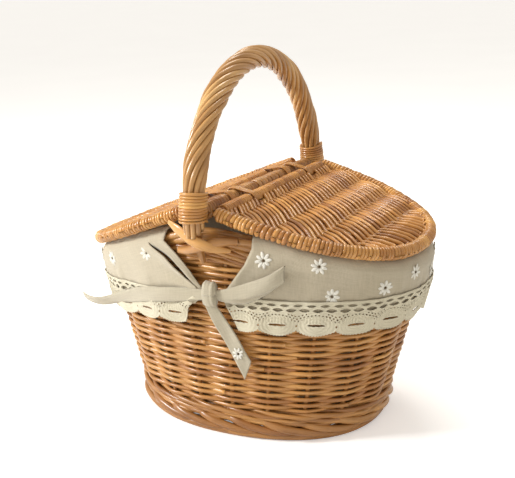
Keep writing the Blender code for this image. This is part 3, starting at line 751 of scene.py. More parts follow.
def lid(word):
    origin, out, across, up, length = lid_frame(word)
    body = word + "_lid"
    r = rng(71 if word == "right" else 72)

    def world(u, v, w):
        return origin + out * np.reshape(u, (-1, 1)) + across * np.reshape(v, (-1, 1)) + up * np.reshape(w, (-1, 1))

    # border roll: a core with skein wound round it
    outline, _ = resample(lid_outline(length, 400), 0.0005)
    rods = Rods()
    coarse, _ = resample(outline, 0.004)
    core = world(coarse[:, 0], coarse[:, 1], 0 * coarse[:, 0])
    rods.add(core, 0.0044, up, sides=12, tone=0.25)
    pitch, per = 0.00315, 14
    total = len(outline) * 0.0005
    turns = int(total / pitch)
    run = np.linspace(0, 1, len(outline))
    # each turn takes its own width: wider at the corner by the handle
    wide = 1 + 0.16 * r.standard_normal(turns)
    where = np.linspace(0, 1, turns)
    wide *= 1 + 0.55 * np.exp(-(((where - 0.10) / 0.05) ** 2)) + 0.25 * np.exp(-(((where - 0.90) / 0.05) ** 2))
    wide = np.clip(wide, 0.65, 1.9)
    ends = np.concatenate([[0], np.cumsum(wide)]) / np.sum(wide)
    k = np.arange(turns * per + 1) / per
    at = np.interp(k, np.arange(turns + 1), ends)
    size = np.interp(k, np.arange(turns) + 0.5, np.clip(wide, 0.8, 1.35))
    cu = np.interp(at, run, outline[:, 0])
    cv = np.interp(at, run, outline[:, 1])
    du = np.gradient(cu)
    dv = np.gradient(cv)
    tang = unit(np.stack([du, dv], -1))
    nu, nv = tang[:, 1], -tang[:, 0]
    a = 2 * PI * k
    wob = 1 + 0.035 * np.sin(k * 1.7) + 0.03 * np.sin(k * 0.31)
    reach = 0.0048 * wob
    cos, sin = np.cos(a) * reach, np.sin(a) * reach
    line = world(cu + nu * cos, cv + nv * cos, sin)
    radial = unit(line - world(cu, cv, 0 * cu))
    # wound in lengths, so that the tone changes along the roll
    start = 0
    while start < len(line) - per:
        stop = min(len(line) - 1, start + int(r.integers(1, 5)) * per)
        rods.add(line[start:stop + 1], 0.00152 * size[start:stop + 1], radial[start:stop + 1], sides=7, thick=0.72, tone=float(np.clip(0.52 + 0.22 * r.standard_normal(), 0.02, 1)))
        start = stop
    finish_piece(rods.build(word + "_lid_border_roll"), M_SKEIN, body, "willow_skein", word + "_lid_border")

    # ribs across the lid, and weavers from the hinge rod to the border
    def half_at(u, inset=0.0052):
        q = np.clip(np.asarray(u) / (length - inset), 0, 1)
        return (LID_HALF - inset) * (1 - q ** LID_POWER) ** (1 / LID_POWER)

    pitch_u = (length - 0.004) / 4.35
    ribs = [pitch_u * (n + 0.92) for n in range(4)]
    rods = Rods()
    for u0 in ribs:
        v = np.linspace(-1, 1, 30) * (half_at(u0) + 0.002)
        bow = 0.004 * (1 - (v / LID_HALF) ** 2)
        rods.add(world(u0 + bow - 0.002, v, 0 * v), 0.0019, up, sides=8, tone=0.4)
    finish_piece(rods.build(word + "_lid_ribs"), M_STAKE, body, "willow_stakes")

    rods = Rods()
    count, step = 94, 0.0016
    u = np.arange(0.0052, length - 0.0045, step)
    for j in range(count):
        v0 = -0.126 + 0.00295 * (j + 0.5) + r.normal(0, 0.0004)
        v = np.empty_like(u)
        here = v0
        for i, uu in enumerate(u):
            v[i] = here
            fan = np.interp(here, [-0.10, -0.05, 0.0, 0.05, 0.10], [-0.76, -0.58, -0.38, -0.24, -0.16])
            over = math.cos(PI * ((uu - ribs[0]) / pitch_u + j)) > -0.12
            saw = -0.20 if over else 0.27
            tip = np.interp(uu, [0.66 * length, 0.86 * length], [0.0, 0.62])
            here += (fan * (1 - 0.35 * uu / length) + saw + tip) * step
        v = np.convolve(np.pad(v, 1, mode="edge"), np.ones(3) / 3, "valid")
        phase = PI * ((u - ribs[0]) / pitch_u + j)
        w = 0.0029 * np.clip(1.35 * zigzag(phase, 0.96), -1, 1)
        near_rod = np.clip((u - 0.003) / 0.010, 0, 1)
        w = w * near_rod + (1 - near_rod) * 0.0030 * (1 if j % 2 else -1)
        inside = np.abs(v) < half_at(u) + 0.0036
        if word == "right" or True:
            for y in LOOPS[word]:
                local = y * (1 if word == "right" else -1)
                inside &= ~((np.abs(v - local) < 0.0052) & (u < 0.0092))
        tone = float(np.clip(0.5 + 0.22 * r.standard_normal(), 0.02, 0.98))
        radius = 0.00172 * (1 + 0.09 * r.standard_normal()) * (1 + 0.26 * u / length)
        run_ = []
        for i in range(len(u)):
            if inside[i]:
                run_.append(i)
            if run_ and (not inside[i] or i == len(u) - 1):
                if len(run_) > 3:
                    sel = np.array(run_)
                    rods.add(world(u[sel], v[sel], w[sel]), radius[sel], up, sides=7, thick=0.78, tone=tone)
                run_ = []
    finish_piece(rods.build(word + "_lid_weavers"), M_LID, body, "willow_weave", word + "_lid_panel")

    rod = frame["nodes"][word + "_hinge_rod"]
    rod.data.materials.clear()
    rod.data.materials.append(M_THICK)

    # the weavers' ends turn round the rod between the hinge loops
    rods = Rods()
    pitch, per = 0.0031, 14
    stops = sorted([y * (1 if word == "right" else -1) for y in LOOPS[word]])
    spans = [(-0.0955, stops[0] - 0.0056), (stops[0] + 0.0056, stops[1] - 0.0056), (stops[1] + 0.0056, 0.0955)]
    for low, high in spans:
        k = np.arange(int((high - low) / pitch) * per + 1) / per
        a = 2 * PI * k
        line = world((ROD_R + 0.0004) * np.cos(a), low + pitch * (k + 0.09 * np.sin(k * 1.9)), (ROD_R + 0.0004) * np.sin(a))
        radial = unit(line - world(0 * a, low + pitch * k, 0 * a))
        start = 0
        while start < len(line) - per:
            stop = min(len(line) - 1, start + int(r.integers(1, 4)) * per)
            rods.add(line[start:stop + 1], 0.00145, radial[start:stop + 1], sides=7, thick=0.8, tone=float(np.clip(0.5 + 0.2 * r.standard_normal(), 0.02, 1)))
            start = stop
    finish_piece(rods.build(word + "_lid_rod_wraps"), M_LID, body, "willow_weave")


lid("right")
lid("left")


# =============================================================== cloth
def linen(name, colour, slub=0.5, pitch=0.0011, rough=0.88, sheen=0.35):
    """Plain-woven linen: two crossing threads, uneven in thickness, and a mottled colour."""
    made, tree, shader = nodes_of(name)
    uv = add(tree, "ShaderNodeUVMap")
    warp = add(tree, "ShaderNodeTexWave", Scale=0.314 / pitch, Distortion=1.2, Detail=2.0, Detail_Scale=1.5)
    weft = add(tree, "ShaderNodeTexWave", Scale=0.314 / pitch, Distortion=1.2, Detail=2.0, Detail_Scale=1.5)
    weft.bands_direction = "Y"
    for wave in (warp, weft):
        tree.links.new(uv.outputs[0], wave.inputs["Vector"])
    cross = add(tree, "ShaderNodeMath", operation="ADD")
    tree.links.new(warp.outputs["Fac"], cross.inputs[0])
    tree.links.new(weft.outputs["Fac"], cross.inputs[1])
    stretch = add(tree, "ShaderNodeMapping", Scale=(900.0, 60.0, 1.0))
    tree.links.new(uv.outputs[0], stretch.inputs[0])
    threads = add(tree, "ShaderNodeTexNoise", Scale=1.0, Detail=3.0, Roughness=0.6)
    tree.links.new(stretch.outputs[0], threads.inputs["Vector"])
    across = add(tree, "ShaderNodeMapping", Scale=(60.0, 900.0, 1.0), Location=(3.0, 5.0, 0.0))
    tree.links.new(uv.outputs[0], across.inputs[0])
    others = add(tree, "ShaderNodeTexNoise", Scale=1.0, Detail=3.0, Roughness=0.6)
    tree.links.new(across.outputs[0], others.inputs["Vector"])
    both = add(tree, "ShaderNodeMath", operation="ADD")
    tree.links.new(threads.outputs["Fac"], both.inputs[0])
    tree.links.new(others.outputs["Fac"], both.inputs[1])
    half = add(tree, "ShaderNodeMath", operation="MULTIPLY")
    half.inputs[1].default_value = 0.5
    tree.links.new(both.outputs[0], half.inputs[0])
    tint = ramp(tree, half.outputs[0], [(0.36, tuple(c * 0.80 for c in colour)), (0.50, colour), (0.64, tuple(min(1, c * 1.16) for c in colour))])
    base = mix(tree, (*colour,), tint, slub)
    coords = add(tree, "ShaderNodeTexCoord")
    spots = add(tree, "ShaderNodeTexNoise", Scale=18.0, Detail=3.0)
    tree.links.new(coords.outputs["Object"], spots.inputs["Vector"])
    soft = ramp(tree, spots.outputs["Fac"], [(0.35, (0.90, 0.89, 0.86)), (0.62, (1.0, 1.0, 1.0))])
    base = mix(tree, base, soft, 0.8, "MULTIPLY")
    tree.links.new(base, shader.inputs["Base Color"])
    shader.inputs["Roughness"].default_value = rough
    shader.inputs["Sheen Weight"].default_value = sheen
    shader.inputs["Sheen Roughness"].default_value = 0.5
    shader.inputs["Specular IOR Level"].default_value = 0.15
    height = add(tree, "ShaderNodeMath", operation="ADD")
    tree.links.new(cross.outputs[0], height.inputs[0])
    tree.links.new(half.outputs[0], height.inputs[1])
    lift = add(tree, "ShaderNodeBump", Strength=0.35, Distance=0.0003)
    tree.links.new(height.outputs[0], lift.inputs["Height"])
    tree.links.new(lift.outputs[0], shader.inputs["Normal"])
    return made


def thread(name, colour):
    made, tree, shader = nodes_of(name)
    coords = add(tree, "ShaderNodeTexCoord")
    noise = add(tree, "ShaderNodeTexNoise", Scale=700.0, Detail=2.0)
    tree.links.new(coords.outputs["Object"], noise.inputs["Vector"])
    tint = ramp(tree, noise.outputs["Fac"], [(0.3, tuple(c * 0.8 for c in colour)), (0.7, colour)])
    tree.links.new(tint, shader.inputs["Base Color"])
    lift = add(tree, "ShaderNodeBump", Strength=0.5, Distance=0.0002)
    tree.links.new(noise.outputs["Fac"], lift.inputs["Height"])
    tree.links.new(lift.outputs[0], shader.inputs["Normal"])
    shader.inputs["Roughness"].default_value = 0.8
    return made


M_LINEN = linen("linen", (0.500, 0.440, 0.328))
M_TIE = linen("tie_linen", (0.500, 0.448, 0.338), slub=0.5)
M_LACE = linen("cotton_lace", (0.650, 0.598, 0.455), slub=0.25, pitch=0.0009, sheen=0.2)
M_PETAL = thread("embroidery_white", (0.80, 0.775, 0.69))
M_EYE = thread("embroidery_brown", (0.10, 0.065, 0.03))


def ripple(s, v, seed, long_s, long_v, waves=7):
    """A smooth random field from -1 to 1, with typical lengths long_s and long_v."""
    r = rng(seed)
    total = np.zeros(np.broadcast(s, v).shape)
    for _ in range(waves):
        ks = 2 * PI / long_s * r.uniform(0.55, 1.5) * r.choice([-1, 1])
        kv = 2 * PI / long_v * r.uniform(0.3, 1.3)
        total = total + np.sin(ks * s + kv * v + r.uniform(0, 2 * PI))
    return total / math.sqrt(waves * 2.4)


def sheet_mesh(name, patches, thick, material):
    """Patches are (points, uv) grids, rows down and columns along; the points are the outer face."""
    verts, faces, uv, count = [], [], [], 0
    for points, where in patches:
        n, m = points.shape[:2]
        i = np.arange(n - 1)[:, None]
        j = np.arange(m - 1)[None, :]
        quad = np.stack(np.broadcast_arrays(i * m + j, (i + 1) * m + j, (i + 1) * m + j + 1, i * m + j + 1), -1)
        faces.append(quad.reshape(-1, 4) + count)
        verts.append(points.reshape(-1, 3))
        uv.append(where.reshape(-1, 2))
        count += n * m
    obj = make_mesh(name, np.concatenate(verts), np.concatenate(faces), np.concatenate(uv))
    thicken(obj, thick)
    obj.data.materials.append(material)
    return obj


def thicken(obj, thick):
    solid = obj.modifiers.new("thickness", "SOLIDIFY")
    solid.thickness = thick
    solid.offset = -1.0
    return obj


def place_uv(points):
    """Length along the columns and down the rows, in metres."""
    along = np.concatenate([np.zeros((points.shape[0], 1)), np.cumsum(np.linalg.norm(np.diff(points, axis=1), axis=2), axis=1)], 1)
    down = np.concatenate([np.zeros((1, points.shape[1])), np.cumsum(np.linalg.norm(np.diff(points, axis=0), axis=2), axis=0)], 0)
    along -= along[:, points.shape[1] // 2][:, None]
    return np.stack([along, down], -1)


FLAP_CLEAR, FLAP_BULGE, LACE_H, CLOTH = 0.0039, 0.0012, 0.0310, 0.0016


def flap_low(t, word):
    return 0.1050 - (0.002 if word == "right" else 0.013) * np.abs(np.cos(t)) ** 1.5


def flap_off(t, z):
    """Outer face of the flap from the wall's outer face."""
    down = rim_top(t) - z
    swell = np.exp(-(((down - 0.016) / 0.019) ** 2))
    return FLAP_CLEAR + CLOTH + FLAP_BULGE * np.abs(np.cos(t)) ** 1.4 * swell


def plan_length(t):
    return np.interp(t, PLAN_T, PLAN_S)


PLAN_T = np.linspace(-2 * PI, 2 * PI, 4001)
_p = wall(PLAN_T, 0.15)
PLAN_S = np.concatenate([[0], np.cumsum(np.linalg.norm(np.diff(_p, axis=0), axis=1))])
PLAN_S -= PLAN_S[2000]


def flap_wrinkles(t, z, word, amount=1.0):
    """Height of the cloth's folds over the flap, in metres."""
    s = plan_length(t)
    seed = 81 if word == "right" else 82
    down = np.clip((rim_top(t) - z) / 0.06, 0, 1)
    h = 0.0011 * ripple(s, z, seed, 0.050, 0.16) * down
    h = h + 0.0007 * ripple(s, z, seed + 10, 0.085, 0.060) * (0.3 + 0.7 * down)
    # gathers above the lace seam
    seam = flap_low(t, word) + LACE_H
    near = np.exp(-(((z - seam) / 0.013) ** 2))
    h = h + 0.00055 * ripple(s, z, seed + 20, 0.016, 0.4, 9) * near
    # folds that run to the bow, front and back
    for knot in (-PI / 2, PI / 2):
        for turn in (0, 2 * PI, -2 * PI):
            ds = s - plan_length(np.array(knot + turn))
            dz = z - 0.1385
            far = np.hypot(ds, dz)
            fan = np.arctan2(dz, np.abs(ds) + 1e-6)
            h = h + 0.0016 * np.sin(fan * 9 + 0.8) * np.exp(-((far / 0.050) ** 2)) * np.clip(far / 0.02, 0, 1)
    return h * amount


def hem(d, wide=0.006, high=0.0008):
    """The doubled cloth along a free edge: d is the distance from the edge."""
    up = 1 / (1 + np.exp((d - wide) / 0.0004))
    return high * up - 0.0003 * np.exp(-(((d - wide + 0.0012) / 0.0005) ** 2))


def edges(word, share):
    """Front and back edges of a flap, as plan angles, for a share of the way down (0 rim, 1 lace seam, 2 lace foot)."""
    d = math.radians
    if word == "right":
        front = np.interp(share, [0, 0.35, 0.9, 1.15, 1.5, 2.0], [-76.0, -78.4, -84.4, -84.6, -82.5, -80.5])
    else:
        front = np.interp(share, [0, 0.3, 0.6, 0.9, 1.15, 1.5, 2.0], [-101.4, -97.2, -93.3, -90.3, -91.5, -95.0, -97.0])
    if word == "right":
        return np.radians(front), np.radians(-front - 0.0)
    return np.radians(-360 - front), np.radians(front)


def flap(word):
    cols, up_rows, rows = 190, 9, 34
    along = np.linspace(0, 1, cols)
    # outside: share 0 at the rim to 1 at the seam, and a little behind the lace
    share = np.linspace(0, 1.28, rows)
    low, high = edges(word, np.minimum(share, 1.28))
    if word == "left":
        low, high = high - 0.0, low + 4 * PI  # front edge at -9x, back edge at 9x the long way round
        low, high = low - 0.0, high
        start, stop = low, -2 * PI + high
        start, stop = stop, start
    else:
        start, stop = low, high
    if word == "left":
        front = low
        back = -2 * PI - front
        start, stop = back, front
    t = start[:, None] + (stop - start)[:, None] * along
    top = rim_top(t) - RIM_R
    seam = flap_low(t, word) + LACE_H
    z = top + (seam - top) * share[:, None]
    z = np.where(share[:, None] > 1, seam - (share[:, None] - 1) * 0.036, z)
    s = plan_length(t)
    d_edge = np.minimum(np.abs(s - s[:, :1]), np.abs(s[:, -1:] - s))
    h = flap_wrinkles(t, z, word) + hem(d_edge)
    off = flap_off(t, z) + h - 0.0006 * (share[:, None] > 0.985)
    outer = wall(t, z, off)
    # the lip that turns over the rim
    ta = np.repeat(t[:1], up_rows, 0)
    turn = PI * (1 - np.linspace(0, 1, up_rows, endpoint=False)) [:, None]
    reach = 1.07 * RIM_R + 0.0009 + CLOTH + 0.0004 * (1 + ripple(s[:1], turn * 0.01, 87, 0.02, 0.1))
    lip = wall(ta, rim_top(ta) - RIM_R, -WALL / 2 + reach * np.cos(turn))
    lip[..., 2] += reach * np.sin(turn)
    points = np.concatenate([lip, outer])
    return t, points, share


def left_slit(points, share):
    """Returns the points unchanged; build_flaps splits the left flap by its front edge into a hem strip, a gap and the
    main cloth standing proud.
    """
    return points


def build_flaps():
    for word in ("right", "left"):
        t, points, share = flap(word)
        if word == "left":
            # the last columns become the hem strip; the main cloth stands out beside it
            strip_cols = 16
            full_share = np.concatenate([np.full(points.shape[0] - len(share), -0.1), share])
            open_ = np.clip(np.sin(PI * np.clip((full_share - 0.02) / 0.86, 0, 1)), 0, 1) ** 0.8 * (full_share > 0)
            n = unit(np.cross(points[:, 2:] - points[:, :-2], np.gradient(points, axis=0)[:, 1:-1]))
            n = -np.concatenate([n[:, :1], n, n[:, -1:]], 1)
            s_row = np.concatenate([np.zeros((points.shape[0], 1)), np.cumsum(np.linalg.norm(np.diff(points, axis=1), axis=2), axis=1)], 1)
            from_edge = s_row[:, -1:] - s_row
            strip_w = np.interp(full_share, [-0.1, 0.0, 0.08, 0.30, 0.55, 0.75, 1.0, 1.28], [0.020, 0.020, 0.0180, 0.0108, 0.0085, 0.0068, 0.0052, 0.0052])
            gap = np.interp(full_share, [0.0, 0.06, 0.30, 0.55, 0.76, 1.0], [0.0, 0.0016, 0.0022, 0.0026, 0.0, 0.0])
            tuck = 0.0050 * np.clip(full_share * 8, 0, 1)
            main_cols = points.shape[1] - strip_cols
            main = np.empty((points.shape[0], main_cols, 3))
            strip = np.empty((points.shape[0], strip_cols, 3))
            for i in range(points.shape[0]):
                edge_at = strip_w[i] + gap[i] - 0.0010
                end = s_row[i, -1]
                at = np.concatenate([np.linspace(0, end - 0.05, main_cols - 40, endpoint=False), np.linspace(end - 0.05, end - edge_at, 40)])
                for k in range(3):
                    main[i, :, k] = np.interp(at, s_row[i], points[i, :, k])
                away = end - at - edge_at
                lift = 0.0034 * open_[i] * np.exp(-((away / 0.014) ** 2)) + 0.0010 * np.exp(-((away / 0.008) ** 2)) * (full_share[i] > 0)
                out = np.stack([np.interp(at, s_row[i], n[i, :, k]) for k in range(3)], -1)
                main[i] += out * lift[:, None]
                at = np.linspace(end - strip_w[i] - gap[i] - tuck[i], end, strip_cols)
                for k in range(3):
                    strip[i, :, k] = np.interp(at, s_row[i], points[i, :, k])
                out = np.stack([np.interp(at, s_row[i], n[i, :, k]) for k in range(3)], -1)
                from_left = (at - at[0]) / max(tuck[i] + gap[i], 1e-6)
                dip = np.clip(1.15 - from_left, 0, 1) ** 1.5 * np.clip(full_share[i] * 8, 0, 1)
                ridge = np.exp(-(((end - at - strip_w[i] * 0.72) / (0.22 * strip_w[i] + 0.0008)) ** 2))
                strip[i] += out * (0.0016 * ridge * open_[i] - 0.0030 * dip)[:, None]
            patches = [(main, place_uv(main)), (strip, place_uv(strip))]
        else:
            patches = [(points, place_uv(points))]
        obj = sheet_mesh(word + "_flap_cloth", patches, 0.0011, M_LINEN)
        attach(obj, "basket")
        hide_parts(word + "_flap")


# --------------------------------------------------------------- lace
PERIOD = 0.032


def lace_keep(s, h):
    """Positive where there is cloth: s along, h down from the seam."""
    x = ((s / PERIOD + 0.5) % 1.0 - 0.5) * PERIOD

    def hole(dx, dh, hw, hh, power):
        return (np.abs(dx / hw) ** power + np.abs(dh / hh) ** power) ** (1 / power) * min(hw, hh) - min(hw, hh)

    third = PERIOD / 3
    xb = ((s / third + 0.5) % 1.0 - 0.5) * third
    xa = ((s / third) % 1.0 - 0.5) * third
    f = hole(xa, h - 0.0036, 0.0040, 0.0013, 1.4)
    f = np.minimum(f, hole(xb, h - 0.0078, 0.0044, 0.0019, 1.4))
    arch = 0.0118 + 0.0042 * (np.abs(x) / (PERIOD / 2)) ** 1.6
    step = PERIOD / 11
    xd = ((s / step) % 1.0 - 0.5) * step
    f = np.minimum(f, hole(xd, h - arch, 0.0008, 0.0007, 2))
    xd2 = ((s / step + 0.5) % 1.0 - 0.5) * step
    f = np.minimum(f, np.where(np.abs(x) > 0.0068, hole(xd2, h - arch + 0.0022, 0.0008, 0.0006, 2), 1))
    f = np.minimum(f, np.where(np.abs(x) > 0.0105, hole(xd2, h - arch - 0.0022, 0.0007, 0.0006, 2), 1))
    f = np.minimum(f, hole(x, h - 0.0212, 0.0072, 0.0010, 3))
    xc = ((s / PERIOD) % 1.0 - 0.5) * PERIOD
    f = np.minimum(f, hole(xc, h - 0.0222, 0.0009, 0.0009, 2))
    foot = 0.0258 + 0.0050 * np.abs(np.cos(PI * x / PERIOD)) ** 0.7 + 0.00045 * np.cos(2 * PI * s / (PERIOD / 13))
    return np.minimum(f, (foot - h) * 0.9)


def clip_grid(P, uv, f, cell_faces):
    """Cuts triangles of the grid where f crosses zero, and keeps the positive side."""
    tri = np.concatenate([cell_faces[:, [0, 1, 2]], cell_faces[:, [0, 2, 3]]])
    F = f[tri]
    inside = (F > 0).sum(1)
    out_pts, out_uv = [], []

    def emit(points, where):
        out_pts.append(points)
        out_uv.append(where)

    full = tri[inside == 3]
    emit(P[full], uv[full])
    for want in (2, 1):
        part = tri[inside == want]
        if not len(part):
            continue
        G = f[part] > 0
        # turn each triangle so that the odd corner is first
        odd = np.argmin(G, 1) if want == 2 else np.argmax(G, 1)
        idx = (odd[:, None] + np.arange(3)) % 3
        part = np.take_along_axis(part, idx, 1)
        a, b, c = part.T

        def cut(i, j, A):
            w = (f[i] / (f[i] - f[j]))[:, None]
            return A[i] + (A[j] - A[i]) * w

        ab, ac = cut(a, b, P), cut(a, c, P)
        uab, uac = cut(a, b, uv), cut(a, c, uv)
        if want == 2:
            emit(np.stack([ab, P[b], P[c]], 1), np.stack([uab, uv[b], uv[c]], 1))
            emit(np.stack([ab, P[c], ac], 1), np.stack([uab, uv[c], uac], 1))
        else:
            emit(np.stack([P[a], ab, ac], 1), np.stack([uv[a], uab, uac], 1))
    points = np.concatenate(out_pts).reshape(-1, 3)
    where = np.concatenate(out_uv).reshape(-1, 2)
    keys, first, index = np.unique(np.round(points, 6), axis=0, return_index=True, return_inverse=True)
    faces = index.reshape(-1, 3)
    good = (faces[:, 0] != faces[:, 1]) & (faces[:, 1] != faces[:, 2]) & (faces[:, 2] != faces[:, 0])
    return points[first], where[first], faces[good]


def lace(word):
    cell = 0.00052
    rows = int(0.0325 / cell)
    h = np.linspace(0, 0.0325, rows)
    start, stop = edges(word, np.interp(h, [0, 0.0325], [1.0, 2.0]))
    if word == "left":
        front = stop
        start, stop = -2 * PI - front, front
    cols = int(0.36 / cell)
    along = np.linspace(0, 1, cols)
    t = start[:, None] + (stop - start)[:, None] * along
    seam = flap_low(t, word) + LACE_H
    z = seam + 0.0012 - h[:, None] * (LACE_H / 0.0310)
    s = plan_length(t)
    s0 = plan_length(np.array(math.radians(-68.0 if word == "right" else -112.0)))
    keep = lace_keep(s - s0, h[:, None] + 0 * s)
    edge = np.minimum(s - s[:, :1], s[:, -1:] - s)
    keep = np.minimum(keep, edge + 0.0001)
    flare = np.clip(h / 0.031, 0, 1)[:, None]
    fold = 0.0010 * ripple(s, z, 91 if word == "right" else 92, 0.034, 0.3) * (0.4 + 0.6 * flare)
    fold = fold + 0.0007 * (1 - np.cos(2 * PI * (s - s0) / PERIOD)) * flare
    relief = 0.00028 * np.clip(1 - np.abs(keep) / 0.0009, 0, 1)
    relief = relief + 0.00022 * np.cos(2 * PI * (s - s0) / 0.0026) * (h[:, None] > 0.014) * (h[:, None] < 0.0195)
    # crochet rows round each slot, and the cord along the foot
    x = ((s - s0) / PERIOD + 0.5) % 1.0 * PERIOD - PERIOD / 2
    ring = np.hypot(x * 0.72, h[:, None] - 0.0212)
    relief = relief + 0.00016 * np.cos(2 * PI * ring / 0.0024) * (h[:, None] > 0.0125)
    relief = relief + 0.00035 * np.exp(-(((h[:, None] - 0.0010) / 0.0008) ** 2))
    off = flap_off(t, z) + 0.0014 + flap_wrinkles(t, z, word) * 0.85 + fold + relief
    P = wall(t, z, off)
    n, m = P.shape[:2]
    i = np.arange(n - 1)[:, None]
    j = np.arange(m - 1)[None, :]
    quad = np.stack(np.broadcast_arrays(i * m + j, (i + 1) * m + j, (i + 1) * m + j + 1, i * m + j + 1), -1).reshape(-1, 4)
    uv = np.stack(np.broadcast_arrays(s, h[:, None]), -1)
    points, where, faces = clip_grid(P.reshape(-1, 3), uv.reshape(-1, 2), keep.ravel(), quad)
    obj = make_mesh(word + "_lace_trim", points, faces, where)
    thicken(obj, 0.0007)
    obj.data.materials.append(M_LACE)
    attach(obj, "basket")
    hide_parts(word + "_lace")


# --------------------------------------------------------------- daisies
def ball(shape=(10, 6)):
    n, m = shape
    a = np.linspace(0, 2 * PI, n, endpoint=False)
    b = np.linspace(0, PI, m)[1:-1]
    pts = [(0, 0, 1.0)] + [(math.cos(x) * math.sin(y), math.sin(x) * math.sin(y), math.cos(y)) for y in b for x in a] + [(0, 0, -1.0)]
    faces = []
    rows = len(b)
    for j in range(n):
        faces.append([0, 1 + j, 1 + (j + 1) % n])
        for i in range(rows - 1):
            faces.append([1 + i * n + j, 1 + (i + 1) * n + j, 1 + (i + 1) * n + (j + 1) % n, 1 + i * n + (j + 1) % n])
        faces.append([len(pts) - 1, 1 + (rows - 1) * n + (j + 1) % n, 1 + (rows - 1) * n + j])
    return np.array(pts), faces


def flap_face(t, z, word):
    return wall(t, z, flap_off(t, z) + flap_wrinkles(t, z, word))


def daisies(word, places, face=None):
    pts, faces_ = ball()
    verts, faces, which = [], [], []
    r = rng(95)
    face = face or flap_face
    for angle, z, size in places:
        t = np.array(math.radians(angle))
        z = np.minimum(float(z), rim_top(t) - 0.0090) if face is flap_face else np.array(float(z))
        at = face(t, z, word)
        e = unit(face(t + 0.01, z, word) - at)
        up = unit(face(t, z + 0.002, word) - at)
        n = unit(np.cross(e, up))
        up = np.cross(n, e)
        spin = r.uniform(0, PI)
        for k in range(8):
            a = spin + 2 * PI * k / 8 + r.normal(0, 0.05)
            direction = e * math.cos(a) + up * math.sin(a)
            cross = -e * math.sin(a) + up * math.cos(a)
            length = size * 0.5 * (1 + r.normal(0, 0.06))
            middle = at + direction * (length * 0.58) + n * 0.00015
            local = middle + (pts[:, :1] * direction * length * 0.42) + (pts[:, 1:2] * cross * size * 0.105) + pts[:, 2:] * n * 0.00055
            base = len(verts) and sum(len(v) for v in verts)
            verts.append(local)
            faces += [[i + base for i in f] for f in faces_]
            which += [0] * len(faces_)
        base = sum(len(v) for v in verts)
        verts.append(at + pts[:, :1] * e * size * 0.075 + pts[:, 1:2] * up * size * 0.075 + pts[:, 2:] * n * 0.0010)
        faces += [[i + base for i in f] for f in faces_]
        which += [1] * len(faces_)
    obj = make_mesh(word + "_daisies", np.concatenate(verts), faces)
    obj.data.materials.append(M_PETAL)
    obj.data.materials.append(M_EYE)
    obj.data.polygons.foreach_set("material_index", which)
    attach(obj, "basket")


# --------------------------------------------------------------- bag
def bag():
    cols, rows, floor_rows = 150, 44, 14
    t = np.linspace(0, 2 * PI, cols + 1)
    share = np.linspace(0, 1, rows)[:, None]
    top = rim_top(t)[None, :] - 0.0082
    z = top + (0.0135 - top) * share
    s = plan_length(t)[None, :]
    turn = t[None, :]
    slack = np.sin(PI * share) ** 0.5
    inward = 0.0022 * (1 + ripple(turn * 0.12, z, 97, 0.075, 0.20)) * slack + 0.0018 * (1 + ripple(turn * 0.12, z, 98, 0.0377, 0.12)) * slack * share
    whole = np.abs(np.sin(turn * 9)) * 0.0009 * slack
    off = -0.0131 - np.abs(inward) - whole
    side = wall(t, z, off)
    side[:, -1] = side[:, 0]
    k = np.linspace(1, 0.02, floor_rows + 1)[1:, None, None]
    bottom = side[-1][None] * [1, 1, 0] * k
    bx, by = bottom[..., 0], bottom[..., 1]
    bottom[..., 2] = 0.0137 + 0.0012 * (1 + ripple(bx, by, 99, 0.06, 0.06)) * (1 - k[..., 0] ** 6)
    points = np.concatenate([side, bottom])[:, ::-1]
    obj = sheet_mesh("liner_bag_cloth", [(points, place_uv(points))], 0.0010, M_LINEN)
    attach(obj, "basket")
    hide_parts("liner_bag")


# --------------------------------------------------------------- ties
def ribbon(name, centre, across, width, lift, thick=0.0011, cols=9):
    """A flat tie: the centreline, the unit direction across it, its width, and hems along both edges."""
    c = np.linspace(-1, 1, cols)[None, :, None]
    e = unit(across)[:, None, :]
    n = unit(np.cross(np.gradient(centre, axis=0), unit(across)))[:, None, :]
    w = np.reshape(width, (-1, 1, 1)) / 2
    edge = hem((1 - np.abs(c)) * w, 0.0022, 0.0005)
    points = centre[:, None, :] + e * c * w + n * (edge + np.reshape(lift, (-1, 1, 1)) * (1 - c ** 2))
    return points


def build_tie(name, points, replaced, material=None):
    obj = sheet_mesh(name, [(points, place_uv(points))], 0.0011, material or M_TIE)
    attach(obj, "basket")
    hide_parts(replaced)
    return obj


def smooth_at(keys, values, u):
    """A smooth curve through a few values."""
    keys, values = np.asarray(keys, float), np.asarray(values, float)
    slope = np.gradient(values, keys)
    k = np.clip(np.searchsorted(keys, u) - 1, 0, len(keys) - 2)
    h = keys[k + 1] - keys[k]
    x = (u - keys[k]) / h
    return (
        (2 * x**3 - 3 * x**2 + 1) * values[k] + (x**3 - 2 * x**2 + x) * h * slope[k]
        + (-2 * x**3 + 3 * x**2) * values[k + 1] + (x**3 - x**2) * h * slope[k + 1]
    )


